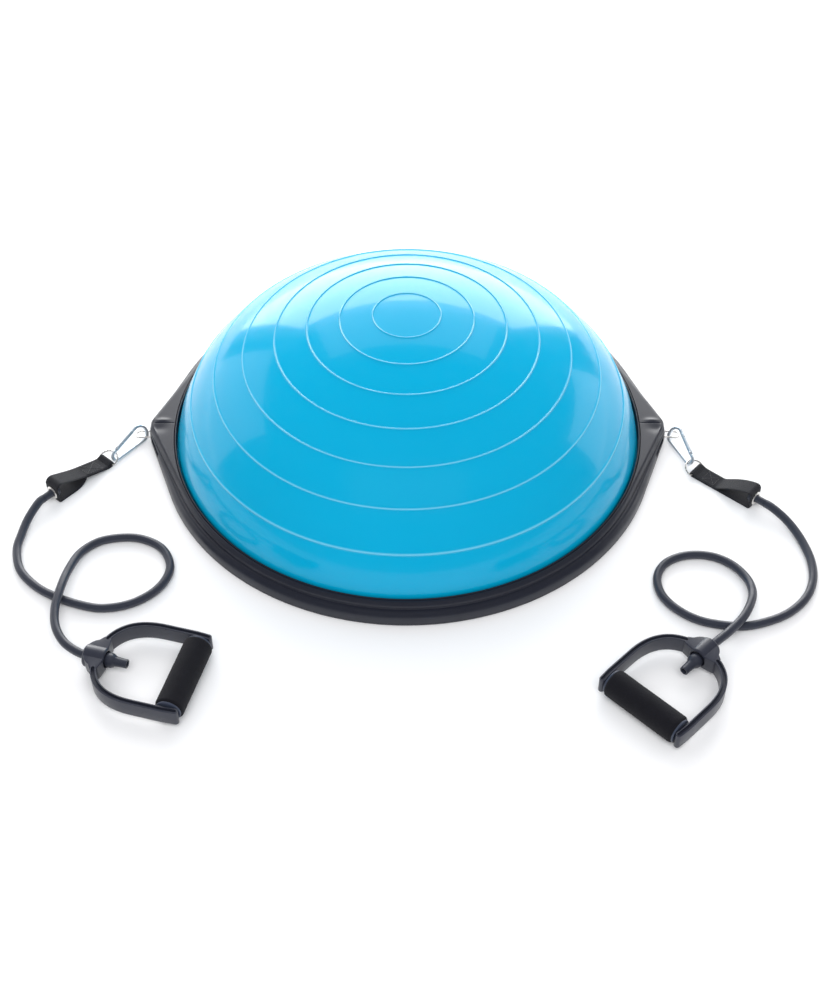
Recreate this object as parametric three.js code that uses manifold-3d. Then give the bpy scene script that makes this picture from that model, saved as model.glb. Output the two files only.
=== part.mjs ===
// A balance dome trainer: an inflated dome clamped on a round platform, with a tube and a
// handle hooked to each side. Millimetres, +Z up, the floor at Z = 0, the two lugs on X.
import * as THREE from "three";
import { mergeVertices } from "three/addons/utils/BufferGeometryUtils.js";
import Module from "manifold-3d";

const wasm = await Module();
wasm.setup();

// ---------------------------------------------------------------- driving dimensions

const GAP = 0.3; // between pieces that touch
const ROUND_SIDES = 48; // sides of the platform and the dome
const QUARTER = Math.PI / 2; // a quarter turn
const degrees = THREE.MathUtils.degToRad;

const PLATFORM_RADIUS = 290;
const SKIRT_BOTTOM = 1.2;
const PLATE_BOTTOM = 2;
const PLATE_TOP = 6.3;
const SKIRT_THICKNESS = 4.4;

const DOME_TOP = 191.4;
const CROWN_RADIUS = 343.7; // the flatter middle of the dome
const CROWN_ANGLE = degrees(34.9); // where the crown turns into the shoulder
const SHOULDER_RADIUS = 188.9;
const SEAM_RADIUS = 270.9; // where the dome goes down into the rim
const DOME_WALL = 3.5;
const FLANGE_RADIUS = 277.9;
const FLANGE_TOP = 12;
const RIB_RADII = [38, 75, 112, 149, 186, 221, 251];
const RIB_HALF_WIDTH = 1.7;
const RIB_HEIGHT = 1;

const VALVE = { x: 0, y: 120 };
const VALVE_HOLE_RADIUS = 8.3;
const VALVE_WELL_RADIUS = 15;
const SCREW_COUNT = 8;
const SCREW_CIRCLE = 281;
const SCREW = { head: 3.2, stem: 1.6, bottom: 2.2, neck: 4.3, top: 14.5 };
const FOOT_COUNT = 8;
const FOOT_CIRCLE = 225;
const FOOT_RADIUS = 12;
const FOOT_HEIGHT = 3.2;
const CENTRE_FOOT_RADIUS = 30;

const LUG_TIP = 306; // from the centre to the lug's blunt end
const LUG_HALF_END = 6.5; // half of the blunt end's width
const RECESS = { length: 32, depth: 11, bottom: 7.2, top: 14, fromCentre: 28, lean: 0.345 };
const TONGUE = { x: [270, 301], y: 8.5, top: 4.6 }; // closes the anchor loop's pocket below
const BAIL_PIVOT = { x: 296, z: 7 };
const BAIL_WIRE = 2;
const BAIL_HALF_WIDTH = 5; // to the wire's middle
const BAIL_REACH = 27.5; // from the pivot to the outer end's middle
const BAIL_DROOP = degrees(5);

const HOOK_WIRE = 4;
const HOOK_WIDE_RADIUS = 9.4; // to the wire's middle, like the narrow end's
const HOOK_NARROW_RADIUS = 4.8;
const HOOK_CENTRES = 41.8; // between the middles of its two round ends
const GATE_ROD = 4.4;
const GATE_PIVOT_SHARE = 0.84; // along the gate side, from the wide end
const GATE_NOSE_SHARE = 0.12;
const TANG = { thickness: 1.3, width: 2.8, radius: 1.6, behind: 3 };
const RIVET = { radius: 0.75, headRadius: 1.3, headFrom: 2.6, headTo: 3.1 };

const RING_WIRE = 2;
const RING_HALF_WIDTH = 12; // to the wire's middle
const RING_STRAIGHT = 2; // from the bar to where the round part starts

const WEB_WIDTH = 21;
const WEB = 1.6; // thickness of one layer
const STRAP_LENGTH = 80; // from the ring's bar to the end face
const STRAP_BASE = GAP; // the webbing's underside
const SEAM_START = 6; // where the sewn part may start to rise, from the ring's bar
const FOLD_RADIUS = RING_WIRE / 2 + 0.4; // inside the fold round the ring's bar
const RING_BAR_HEIGHT = STRAP_BASE + WEB + FOLD_RADIUS;
const BOTTOM_CORNER = 3; // of the webbing, below the end face

const GROMMET_FLANGE_RADIUS = 8.2;
const GROMMET_BORE = 5.3;
const GROMMET_RIM = 0.9;

const TUBE_DIAMETER = 9.5;
const PLUG_NECK_LENGTH = 13; // past the strap's end face
const PLUG_NECK_RADIUS = 4.4;
const PLUG_HEAD_RADIUS = 7;
const BULGE = { at: 16, radius: 8, cavity: 6.6, ball: 6 }; // at: past the hub's middle
const TAIL = { start: 27, end: 35, radius: 4.9, bore: 3.2 };
const TUBE_STOP = 7; // where the tube's end meets the bulged end, past the hub's middle

const GRIP_HEIGHT = 15.5; // of the handle's middle plane over the floor
const BOW_HEIGHT = 19;
const ARM_THICKNESS = 6.5;
const HUB_HALF_LENGTH = 12;
const HUB_RADIUS = 12;
const HUB_BACK = { middle: 6, radius: 18 };
const HUB_SHOULDER = [[10.2, 20], [2.6, 22]]; // an arm's inner and outer side
const HUB_MOUTH = { radius: 9, from: 6.5 }; // the wider front of the bore, round the bulge
const GRIP_OFFSET = 97.5; // from the hub's middle to the grip's axis
const ARM_SPAN = 50; // from the middle plane to an arm's middle at the grip
const ARM_END = 107; // the arm's last point, past the grip
const ARM_GROOVE = { width: 3.3, depth: 4 };
const STUB_RADIUS = 4;
const STUB_TIP = 39.5; // how near the middle plane a stub reaches
const CORE_HALF_LENGTH = 45.2;
const CORE_RADIUS = 11;
const CORE_FLANGE_RADIUS = 13.5;
const CORE_FLANGE = 2;
const FOAM_RADIUS = 15.5;

// Each side's own lie: where its pieces rest, and the way they point in degrees. A hook is
// turned about its own length (roll), its nose's height (pitch), then about Z (yaw). A strap's
// two layers are sewn as far as seam, where its underside is lift above the floor; leave and step
// say how fast its upper layer leaves the end's top corner and the seam; eyelet is its height.
// A route is the tube's way over the floor, between the strap and the handle's hub.
const SIDES = [
  {
    name: "left",
    sign: -1,
    hook: { at: [-318, -3.7, 9.7], yaw: -126, pitch: 5.2, roll: 55.4 },
    ring: { at: [-353.5, -42.1], pitch: 16.2 },
    strap: { yaw: -131.7, height: 26, seam: 36, lift: 9, topTurn: 112, leave: 18, step: 14, corner: 7, eyelet: 11.2 },
    handle: { at: [-323, -344], yaw: -15.3 },
    route: [
      [-424.8, -128.6, 9.8],
      [-429.8, -143.8, 7.8],
      [-433, -161.5, 6],
      [-434.8, -183, 4.9],
      [-426, -214, 4.9],
      [-405, -238, 4.9],
      [-383, -252, 4.9],
      [-354, -264, 4.9],
      [-328, -269, 4.9],
      [-297, -262, 4.9],
      [-271, -241, 4.9],
      [-261, -212, 4.9],
      [-272, -184, 4.9],
      [-295, -169, 4.9],
      [-317, -166, 4.9],
      [-344, -172, 4.9],
      [-362, -189, 6],
      [-371, -218, 10.5],
      [-375, -253, 15.4],
      [-376, -281, 15.6],
      [-371, -305, 15.5],
      [-358, -326, 15.5],
    ],
  },
  {
    name: "right",
    sign: 1,
    hook: { at: [318.3, -5.7, 9.2], yaw: -72.2, pitch: 2.2, roll: 49.7 },
    ring: { at: [338.2, -58], pitch: 20.7 },
    strap: { yaw: -41, height: 24, seam: 30, lift: 0, topTurn: 103, leave: 24, step: 6, corner: 5.5, eyelet: 11 },
    handle: { at: [311.6, -337.6], yaw: -134.7 },
    route: [
      [421, -131.5, 9.8],
      [430, -143.5, 8],
      [438, -159, 6.3],
      [444.2, -178, 5.2],
      [448, -203, 4.9],
      [445, -230, 4.9],
      [433, -255, 4.9],
      [411, -276, 4.9],
      [386, -288, 4.9],
      [360, -294, 4.9],
      [336, -292, 4.9],
      [312, -285, 4.9],
      [290, -269, 4.9],
      [277, -249, 4.9],
      [275, -225, 4.9],
      [285, -206, 4.9],
      [303, -195, 4.9],
      [323, -192, 4.9],
      [343, -196, 4.9],
      [360, -208, 5.5],
      [372, -228, 7.5],
      [375, -249, 11],
      [371, -267, 14],
      [359, -290, 15.6],
      [340, -311, 15.5],
    ],
  },
];

// ---------------------------------------------------------------- materials

const FINISHES = {
  dome: { color: 0x0aa9dc, roughness: 0.18, metalness: 0 },
  platform: { color: 0x34353f, roughness: 0.48, metalness: 0 },
  foot: { color: 0x1b1b1e, roughness: 0.85, metalness: 0 },
  screw: { color: 0x8f9296, roughness: 0.35, metalness: 1 },
  valve: { color: 0xd9dadb, roughness: 0.5, metalness: 0 },
  nickel: { color: 0xc9c7c4, roughness: 0.2, metalness: 1 },
  zinc: { color: 0xb9c4cc, roughness: 0.28, metalness: 1 },
  webbing: { color: 0x1e1e23, roughness: 0.92, metalness: 0 },
  grommet: { color: 0xdcdcdc, roughness: 0.25, metalness: 1 },
  tube: { color: 0x454854, roughness: 0.42, metalness: 0 },
  bow: { color: 0x3d3f4b, roughness: 0.4, metalness: 0 },
  core: { color: 0x4b5162, roughness: 0.45, metalness: 0 },
  foam: { color: 0x17171a, roughness: 0.95, metalness: 0 },
};

const object = new THREE.Group();
object.name = "balance_dome_trainer";

// Adds one named mesh, with its own material, to a group.
function add(parent, name, finish, geometry) {
  const mesh = new THREE.Mesh(geometry, new THREE.MeshStandardMaterial(FINISHES[finish]));
  mesh.name = name;
  parent.add(mesh);
}

// ---------------------------------------------------------------- solids

// The vertices of a geometry joined by place, and its triangles without the collapsed ones.
function joined(geometry) {
  const bare = geometry.clone();
  bare.deleteAttribute("normal");
  bare.deleteAttribute("uv");
  const merged = mergeVertices(bare, 1e-4);
  const corners = merged.index.array;
  const triangles = [];
  for (let i = 0; i < corners.length; i += 3) {
    const [a, b, c] = corners.slice(i, i + 3);
    if (a !== b && b !== c && c !== a) triangles.push([a, b, c]);
  }
  return { points: merged.attributes.position.array, triangles };
}

// A closed geometry as a manifold-3d solid, turned round if its faces point inwards.
function toSolid(geometry) {
  const { points, triangles } = joined(geometry);
  const make = (list) =>
    new wasm.Manifold(
      new wasm.Mesh({ numProp: 3, vertProperties: points, triVerts: new Uint32Array(list.flat()) }),
    );
  const made = make(triangles);
  return made.volume() > 0 ? made : make(triangles.map(([a, b, c]) => [a, c, b]));
}

function toGeometry(made) {
  const mesh = made.getMesh();
  const geometry = new THREE.BufferGeometry();
  geometry.setAttribute("position", new THREE.BufferAttribute(mesh.vertProperties, 3));
  geometry.setIndex(new THREE.BufferAttribute(mesh.triVerts, 1));
  geometry.computeVertexNormals();
  return geometry;
}

// The first geometry with the added ones joined on and then the cut ones taken away.
function shape(base, { added = [], cut = [] }) {
  let made = toSolid(base);
  for (const piece of added) made = made.add(toSolid(piece));
  for (const piece of cut) made = made.subtract(toSolid(piece));
  return toGeometry(made);
}

// Points of an arc in a plane, from one angle to another, both ends included.
function arc(x, y, radius, from, to, steps) {
  return Array.from({ length: steps + 1 }, (_, i) => {
    const angle = from + ((to - from) * i) / steps;
    return [x + radius * Math.cos(angle), y + radius * Math.sin(angle)];
  });
}

// A closed outline of (radius, height) points turned about Z.
function revolve(outline, sides) {
  const points = outline.map(([radius, height]) => new THREE.Vector2(radius, height));
  const closes = points.at(0).x === 0 && points.at(-1).x === 0;
  if (!closes) points.push(points[0].clone());
  return toGeometry(
    toSolid(new THREE.LatheGeometry(points, sides).rotateX(QUARTER)),
  );
}

// The same turned about X: the outline is (radius, distance along X).
function revolveAlongX(outline, sides) {
  return revolve(outline, sides).rotateY(QUARTER);
}

function disc(radius, bottom, top, sides) {
  return new THREE.CylinderGeometry(radius, radius, top - bottom, sides)
    .rotateX(QUARTER)
    .translate(0, 0, (bottom + top) / 2);
}

function box([x0, x1], [y0, y1], [z0, z1]) {
  return new THREE.BoxGeometry(x1 - x0, y1 - y0, z1 - z0).translate(
    (x0 + x1) / 2,
    (y0 + y1) / 2,
    (z0 + z1) / 2,
  );
}

function extrude(outline, bottom, top, holes = []) {
  const path = (list) => list.map(([x, y]) => new THREE.Vector2(x, y));
  const flat = new THREE.Shape(path(outline));
  flat.holes = holes.map((hole) => new THREE.Path(path(hole)));
  const options = { depth: top - bottom, bevelEnabled: false };
  return new THREE.ExtrudeGeometry(flat, options).translate(0, 0, bottom);
}

// A skin over outlines of equal length, one above another, closed at both ends.
function loft(levels) {
  const count = levels[0].length;
  const index = [];
  for (let level = 0; level < levels.length - 1; level++)
    for (let i = 0; i < count; i++) {
      const [a, b] = [level * count + i, level * count + ((i + 1) % count)];
      index.push(a, b, a + count, b, b + count, a + count);
    }
  const last = (levels.length - 1) * count;
  for (let i = 1; i < count - 1; i++) {
    index.push(0, i + 1, i);
    index.push(last, last + i, last + i + 1);
  }
  const geometry = new THREE.BufferGeometry();
  geometry.setAttribute("position", new THREE.Float32BufferAttribute(levels.flat(2), 3));
  geometry.setIndex(index);
  return toGeometry(toSolid(geometry));
}

// Round wire along points in the XY plane; a closed wire meets its own start.
function wire(points, diameter, sides, closed) {
  const count = points.length;
  const positions = [];
  const index = [];
  points.forEach(([x, y], i) => {
    const next = points[closed ? (i + 1) % count : Math.min(i + 1, count - 1)];
    const before = points[closed ? (i + count - 1) % count : Math.max(i - 1, 0)];
    const along = new THREE.Vector2(next[0] - before[0], next[1] - before[1]).normalize();
    for (const [out, up] of arc(0, 0, diameter / 2, 0, 2 * Math.PI * (1 - 1 / sides), sides - 1))
      positions.push(x + out * along.y, y - out * along.x, up);
  });
  for (let i = 0; i < (closed ? count : count - 1); i++)
    for (let j = 0; j < sides; j++) {
      const [a, b] = [i * sides + j, i * sides + ((j + 1) % sides)];
      const [c, d] = [((i + 1) % count) * sides + j, ((i + 1) % count) * sides + ((j + 1) % sides)];
      index.push(a, b, c, b, d, c);
    }
  if (!closed)
    for (let j = 1; j < sides - 1; j++) {
      const last = (count - 1) * sides;
      index.push(0, j + 1, j, last, last + j, last + j + 1);
    }
  const geometry = new THREE.BufferGeometry();
  geometry.setAttribute("position", new THREE.Float32BufferAttribute(positions, 3));
  geometry.setIndex(index);
  return toGeometry(toSolid(geometry));
}

// Places on a circle about Z, evenly spread and starting half a step round.
function around(count, radius) {
  return Array.from({ length: count }, (_, i) => {
    const angle = (2 * Math.PI * (i + 0.5)) / count;
    return [radius * Math.cos(angle), radius * Math.sin(angle)];
  });
}

// ---------------------------------------------------------------- platform

const screwPlaces = around(SCREW_COUNT, SCREW_CIRCLE);
const footPlaces = around(FOOT_COUNT, FOOT_CIRCLE);
const plateRadius = PLATFORM_RADIUS - SKIRT_THICKNESS - GAP;

// The platform's outer edge, as radius and height, with how far the lug's tip reaches there.
const EDGE = [
  { radius: PLATFORM_RADIUS, z: SKIRT_BOTTOM, tip: LUG_TIP },
  { radius: PLATFORM_RADIUS - 0.4, z: 9, tip: LUG_TIP },
  { radius: PLATFORM_RADIUS - 2.5, z: 14, tip: LUG_TIP - 0.4 },
  { radius: PLATFORM_RADIUS - 6, z: 16.6, tip: LUG_TIP - 0.8 },
  { radius: PLATFORM_RADIUS - 8.2, z: 17.4, tip: LUG_TIP - 1 },
  { radius: PLATFORM_RADIUS - 9, z: 19.8, tip: LUG_TIP - 1.4 },
  { radius: PLATFORM_RADIUS - 10.6, z: 22.4, tip: LUG_TIP - 2.4 },
  { radius: PLATFORM_RADIUS - 13.2, z: 24.1, tip: LUG_TIP - 4.6 },
];

function ringOutline() {
  const wall = SEAM_RADIUS + GAP;
  const pocket = FLANGE_RADIUS + GAP;
  const skirt = PLATFORM_RADIUS - SKIRT_THICKNESS;
  return [
    ...EDGE.map(({ radius, z }) => [radius, z]),
    [wall + 3.2, 24.3], // a groove, then a thin lip against the dome
    [wall + 2.5, 23.2],
    [wall + 1.9, 24.7],
    [wall + 0.8, 25],
    [wall, 24.4],
    [wall, FLANGE_TOP + GAP],
    [pocket, FLANGE_TOP + GAP],
    [pocket, PLATE_TOP + GAP],
    [skirt, PLATE_TOP + GAP],
    [skirt, SKIRT_BOTTOM],
  ];
}

// A lug's outline at one height: a blunt end whose sides run on as tangents of the edge.
function lugOutline(sign, { radius, z, tip }) {
  const reach = Math.hypot(tip, LUG_HALF_END);
  const tangent = Math.atan2(LUG_HALF_END, tip) + Math.acos(radius / reach);
  const touch = [radius * Math.cos(tangent), radius * Math.sin(tangent)];
  const corner = 1.5;
  const half = [
    [tip, LUG_HALF_END - corner],
    [tip - corner * 0.4, LUG_HALF_END + corner * 0.5],
    touch,
  ];
  const mirrored = half.map(([x, y]) => [x, -y]).reverse();
  return [...half, ...mirrored].map(([x, y]) => [sign * x, y, z]);
}

// The two finger recesses under a lug's long sides, as blocks to cut away.
function fingerRecesses(sign) {
  return [1, -1].map((half) =>
    box(
      [-RECESS.depth, 2],
      [-RECESS.length / 2, RECESS.length / 2],
      [RECESS.bottom, RECESS.top],
    )
      .rotateZ(half * RECESS.lean)
      .translate(LUG_TIP - 8, half * RECESS.fromCentre, 0)
      .rotateZ(sign < 0 ? Math.PI : 0),
  );
}

// The pocket for the anchor loop's inner bar, and the two upright slots for its legs.
function bailCuts(sign) {
  const x = (from, to) => (sign > 0 ? [from, to] : [-to, -from]);
  const slotHalf = BAIL_WIRE / 2 + 0.4;
  const slots = [1, -1].map((half) =>
    box(
      x(BAIL_PIVOT.x + 2, LUG_TIP + 2),
      [half * BAIL_HALF_WIDTH - slotHalf, half * BAIL_HALF_WIDTH + slotHalf],
      [4, 14.8],
    ),
  );
  const pocket = box(x(BAIL_PIVOT.x - 5, BAIL_PIVOT.x + 4), [-8, 8], [SKIRT_BOTTOM - 1, 10.6]);
  const tongue = box(
    x(TONGUE.x[0], TONGUE.x[1] + GAP),
    [-TONGUE.y - GAP, TONGUE.y + GAP],
    [SKIRT_BOTTOM - 1, TONGUE.top + GAP],
  );
  return [...slots, pocket, tongue];
}

function rimRing() {
  const wall = SEAM_RADIUS + GAP + 3.2;
  const lugs = [1, -1].map((sign) =>
    shape(loft(EDGE.map((level) => lugOutline(sign, level))), {
      cut: [
        disc(wall, SKIRT_BOTTOM - 1, 30, ROUND_SIDES),
        disc(FLANGE_RADIUS + GAP, 0, FLANGE_TOP + GAP, ROUND_SIDES),
        disc(PLATFORM_RADIUS - SKIRT_THICKNESS, 0, PLATE_TOP + GAP, ROUND_SIDES),
      ],
    }),
  );
  const holes = screwPlaces.map(([x, y]) =>
    disc(SCREW.stem + GAP, PLATE_TOP - 1, SCREW.top + GAP, 8).translate(x, y, 0),
  );
  const cuts = [1, -1].flatMap((sign) => [...fingerRecesses(sign), ...bailCuts(sign)]);
  return shape(revolve(ringOutline(), ROUND_SIDES), { added: lugs, cut: [...holes, ...cuts] });
}

function basePlate() {
  const sockets = footPlaces.map(([x, y]) =>
    disc(FOOT_RADIUS + 2 * GAP, 0, FOOT_HEIGHT + GAP, 16).translate(x, y, 0),
  );
  const screws = screwPlaces.flatMap(([x, y]) => [
    disc(SCREW.head + GAP, 0, SCREW.neck + GAP, 8).translate(x, y, 0),
    disc(SCREW.stem + GAP, 0, PLATE_TOP + 1, 8).translate(x, y, 0),
  ]);
  return shape(disc(plateRadius, PLATE_BOTTOM, PLATE_TOP, ROUND_SIDES), {
    added: [1, -1].map((sign) => {
      const reach = sign > 0 ? TONGUE.x : TONGUE.x.map((x) => -x).reverse();
      return box(reach, [-TONGUE.y, TONGUE.y], [PLATE_BOTTOM, TONGUE.top]);
    }),
    cut: [
      ...sockets,
      ...screws,
      disc(CENTRE_FOOT_RADIUS + 2 * GAP, 0, FOOT_HEIGHT + GAP, 28),
      disc(VALVE_WELL_RADIUS, 0, PLATE_TOP + 1, 20).translate(VALVE.x, VALVE.y, 0),
    ],
  });
}

// ---------------------------------------------------------------- dome and valve

// The dome's curve from its top to the seam, moved inwards by a wall's thickness.
function domeCurve(inwards, ribbed) {
  const crownMiddle = DOME_TOP - CROWN_RADIUS;
  const step = CROWN_RADIUS - SHOULDER_RADIUS;
  const shoulderMiddle = [
    step * Math.sin(CROWN_ANGLE),
    crownMiddle + step * Math.cos(CROWN_ANGLE),
  ];
  const crownEdge = CROWN_RADIUS * Math.sin(CROWN_ANGLE);
  // The point over a given radius, raised off the surface by lift.
  const at = (radius, lift) => {
    if (radius <= crownEdge) {
      const angle = Math.asin(radius / CROWN_RADIUS);
      const reach = CROWN_RADIUS - inwards + lift;
      return [reach * Math.sin(angle), crownMiddle + reach * Math.cos(angle)];
    }
    const angle = Math.asin((radius - shoulderMiddle[0]) / SHOULDER_RADIUS);
    const reach = SHOULDER_RADIUS - inwards + lift;
    return [
      shoulderMiddle[0] + reach * Math.sin(angle),
      shoulderMiddle[1] + reach * Math.cos(angle),
    ];
  };
  const plain = [0, 70, 130, 180, 215, 246, SEAM_RADIUS].map((radius) => at(radius, 0));
  if (!ribbed) return plain;
  const ribs = RIB_RADII.flatMap((radius) => [
    at(radius - RIB_HALF_WIDTH, 0),
    at(radius, RIB_HEIGHT),
    at(radius + RIB_HALF_WIDTH, 0),
  ]);
  return [at(0, 0), ...ribs, at(262, 0), at(SEAM_RADIUS, 0)];
}

function domeShell() {
  const bottom = PLATE_TOP + GAP;
  const outer = revolve(
    [
      ...domeCurve(0, true),
      [SEAM_RADIUS, FLANGE_TOP],
      [FLANGE_RADIUS, FLANGE_TOP],
      [FLANGE_RADIUS, bottom],
      [0, bottom],
    ],
    ROUND_SIDES,
  );
  const inner = revolve(
    [
      ...domeCurve(DOME_WALL, false),
      [SEAM_RADIUS - DOME_WALL, bottom + DOME_WALL],
      [0, bottom + DOME_WALL],
    ],
    ROUND_SIDES,
  );
  const valveHole = disc(VALVE_HOLE_RADIUS, 0, 15, 24).translate(VALVE.x, VALVE.y, 0);
  return shape(outer, { cut: [inner, valveHole] });
}

function valveSeat() {
  const under = PLATE_TOP;
  const over = PLATE_TOP + GAP + DOME_WALL + GAP;
  return revolve(
    [
      [4.6, under - 2],
      [12, under - 2],
      [12, under],
      [8, under],
      [8, over],
      [12, over],
      [12, over + 2],
      [4.6, over + 2],
    ],
    20,
  ).translate(VALVE.x, VALVE.y, 0);
}

function valvePlug() {
  return revolve(
    [
      [0, 2.4],
      [9, 2.4],
      [9, PLATE_TOP - 2 - GAP],
      [4.3, PLATE_TOP - 2 - GAP],
      [4, 11.6],
      [0, 11.6],
    ],
    20,
  ).translate(VALVE.x, VALVE.y, 0);
}

function foot(radius, x, y) {
  const edge = 1.2;
  return revolve(
    [
      [0, 0],
      [radius - edge, 0],
      [radius, edge],
      [radius, FOOT_HEIGHT],
      [0, FOOT_HEIGHT],
    ],
    radius > FOOT_RADIUS ? 28 : 16,
  ).translate(x, y, 0);
}

function screw([x, y]) {
  const socket = 1.6;
  return revolve(
    [
      [0, SCREW.bottom + 1],
      [socket, SCREW.bottom + 1],
      [socket, SCREW.bottom],
      [SCREW.head - 0.5, SCREW.bottom],
      [SCREW.head, SCREW.bottom + 0.6],
      [SCREW.head, SCREW.neck],
      [SCREW.stem, SCREW.neck],
      [SCREW.stem, SCREW.top - 1],
      [0, SCREW.top],
    ],
    8,
  ).translate(x, y, 0);
}

add(object, "base_platform", "platform", basePlate());
add(object, "rim_ring", "platform", rimRing());
add(object, "dome", "dome", domeShell());
add(object, "valve_seat", "valve", valveSeat());
add(object, "valve_plug", "valve", valvePlug());
add(object, "centre_foot", "foot", foot(CENTRE_FOOT_RADIUS, 0, 0));
footPlaces.forEach(([x, y], i) => add(object, `foot_${i + 1}`, "foot", foot(FOOT_RADIUS, x, y)));
screwPlaces.forEach((place, i) => add(object, `screw_${i + 1}`, "screw", screw(place)));

// ---------------------------------------------------------------- anchor loop and snap hook

// A rounded oblong from its inner bar at X = 0 to its outer end.
function anchorLoop(sign) {
  const [inner, outer] = [2, 4];
  const half = BAIL_HALF_WIDTH;
  const line = [
    ...arc(BAIL_REACH - outer, half - outer, outer, 0, QUARTER, 4),
    ...arc(inner, half - inner, inner, QUARTER, 2 * QUARTER, 3),
    ...arc(inner, inner - half, inner, 2 * QUARTER, 3 * QUARTER, 3),
    ...arc(BAIL_REACH - outer, outer - half, outer, 3 * QUARTER, 4 * QUARTER, 4),
  ];
  return wire(line, BAIL_WIRE, 7, true)
    .rotateY(BAIL_DROOP)
    .rotateZ(sign < 0 ? Math.PI : 0)
    .translate(sign * BAIL_PIVOT.x, 0, BAIL_PIVOT.z);
}

// The hook lies along X with its wide end round the origin and its gate on the +Y side.
const hookTangent = Math.acos((HOOK_WIDE_RADIUS - HOOK_NARROW_RADIUS) / HOOK_CENTRES);
const gateStart = [
  HOOK_WIDE_RADIUS * Math.cos(hookTangent),
  HOOK_WIDE_RADIUS * Math.sin(hookTangent),
];
const gateSlope = hookTangent - QUARTER;
const sideLength = HOOK_CENTRES * Math.sin(hookTangent);
const alongGate = (distance) => [
  gateStart[0] + distance * Math.cos(gateSlope),
  gateStart[1] + distance * Math.sin(gateSlope),
];
const pivotAt = GATE_PIVOT_SHARE * sideLength;
const noseAt = GATE_NOSE_SHARE * sideLength;

// Turns a piece drawn along X from the gate's pivot on to the gate's own line.
function onGate(geometry) {
  const [x, y] = alongGate(pivotAt);
  return geometry.rotateZ(gateSlope).translate(x, y, 0);
}

// Puts a piece of the hook where that side's hook lies; the left hook is turned over.
function onHook(geometry, { sign, hook }) {
  if (sign < 0) geometry.rotateX(Math.PI);
  return geometry
    .rotateX(degrees(sign * hook.roll))
    .rotateY(degrees(hook.pitch))
    .rotateZ(degrees(hook.yaw))
    .translate(...hook.at);
}

function hookBody(side) {
  const line = [
    alongGate(noseAt - 0.4),
    ...arc(0, 0, HOOK_WIDE_RADIUS, hookTangent, 4 * QUARTER - hookTangent, 14),
    ...arc(HOOK_CENTRES, 0, HOOK_NARROW_RADIUS, -hookTangent, hookTangent, 10),
    alongGate(pivotAt + TANG.behind),
  ];
  const half = TANG.thickness / 2;
  const tang = onGate(box([0, TANG.behind + 1], [-TANG.width / 2, TANG.width / 2], [-half, half]));
  const end = onGate(disc(TANG.radius, -half, half, 12));
  const hole = onGate(disc(RIVET.radius + GAP, -HOOK_WIRE, HOOK_WIRE, 10));
  return onHook(shape(wire(line, HOOK_WIRE, 10, false), { added: [tang, end], cut: [hole] }), side);
}

function hookGate(side) {
  const behind = 1.6;
  const slotHalf = TANG.thickness / 2 + GAP;
  const rod = wire([[noseAt - pivotAt, 0], [behind, 0]], GATE_ROD, 10, false);
  const slot = box([-TANG.radius - 2 * GAP, HOOK_WIRE], [-HOOK_WIRE, HOOK_WIRE], [-slotHalf, slotHalf]);
  const hole = disc(RIVET.radius + GAP, -HOOK_WIRE, HOOK_WIRE, 10);
  return onHook(onGate(shape(rod, { cut: [slot, hole] })), side);
}

function hookRivet(side) {
  const { radius, headRadius, headFrom, headTo } = RIVET;
  const outline = [
    [0, -headTo],
    [headRadius, -headTo],
    [headRadius, -headFrom],
    [radius, -headFrom],
    [radius, headFrom],
    [headRadius, headFrom],
    [headRadius, headTo],
    [0, headTo],
  ];
  return onHook(onGate(revolve(outline, 10)), side);
}

// ---------------------------------------------------------------- ring, strap, grommet and plug

// Puts a piece drawn with the ring's bar at X = 0 and the strap along +X where that strap lies.
function onStrap(geometry, { strap, ring }) {
  return geometry.rotateZ(degrees(strap.yaw)).translate(ring.at[0], ring.at[1], 0);
}

function strapRing(side) {
  const corner = 1.5;
  const half = RING_HALF_WIDTH;
  const line = [
    ...arc(-corner, corner - half, corner, -QUARTER, 0, 3),
    ...arc(-corner, half - corner, corner, 0, QUARTER, 3),
    ...arc(-RING_STRAIGHT, 0, half, QUARTER, 3 * QUARTER, 14),
  ];
  return onStrap(
    wire(line, RING_WIRE, 7, true).rotateY(degrees(side.ring.pitch)).translate(0, 0, RING_BAR_HEIGHT),
    side,
  );
}

// The height of the sewn part's underside, which rises from the ring to the seam's end.
function underside({ seam, lift }, x) {
  return STRAP_BASE + (lift * Math.max(0, x - SEAM_START)) / (seam - SEAM_START);
}

function curve(points, steps) {
  const corners = points.map(([x, y]) => new THREE.Vector2(x, y));
  return new THREE.CubicBezierCurve(...corners).getPoints(steps).map(({ x, y }) => [x, y]);
}

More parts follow.
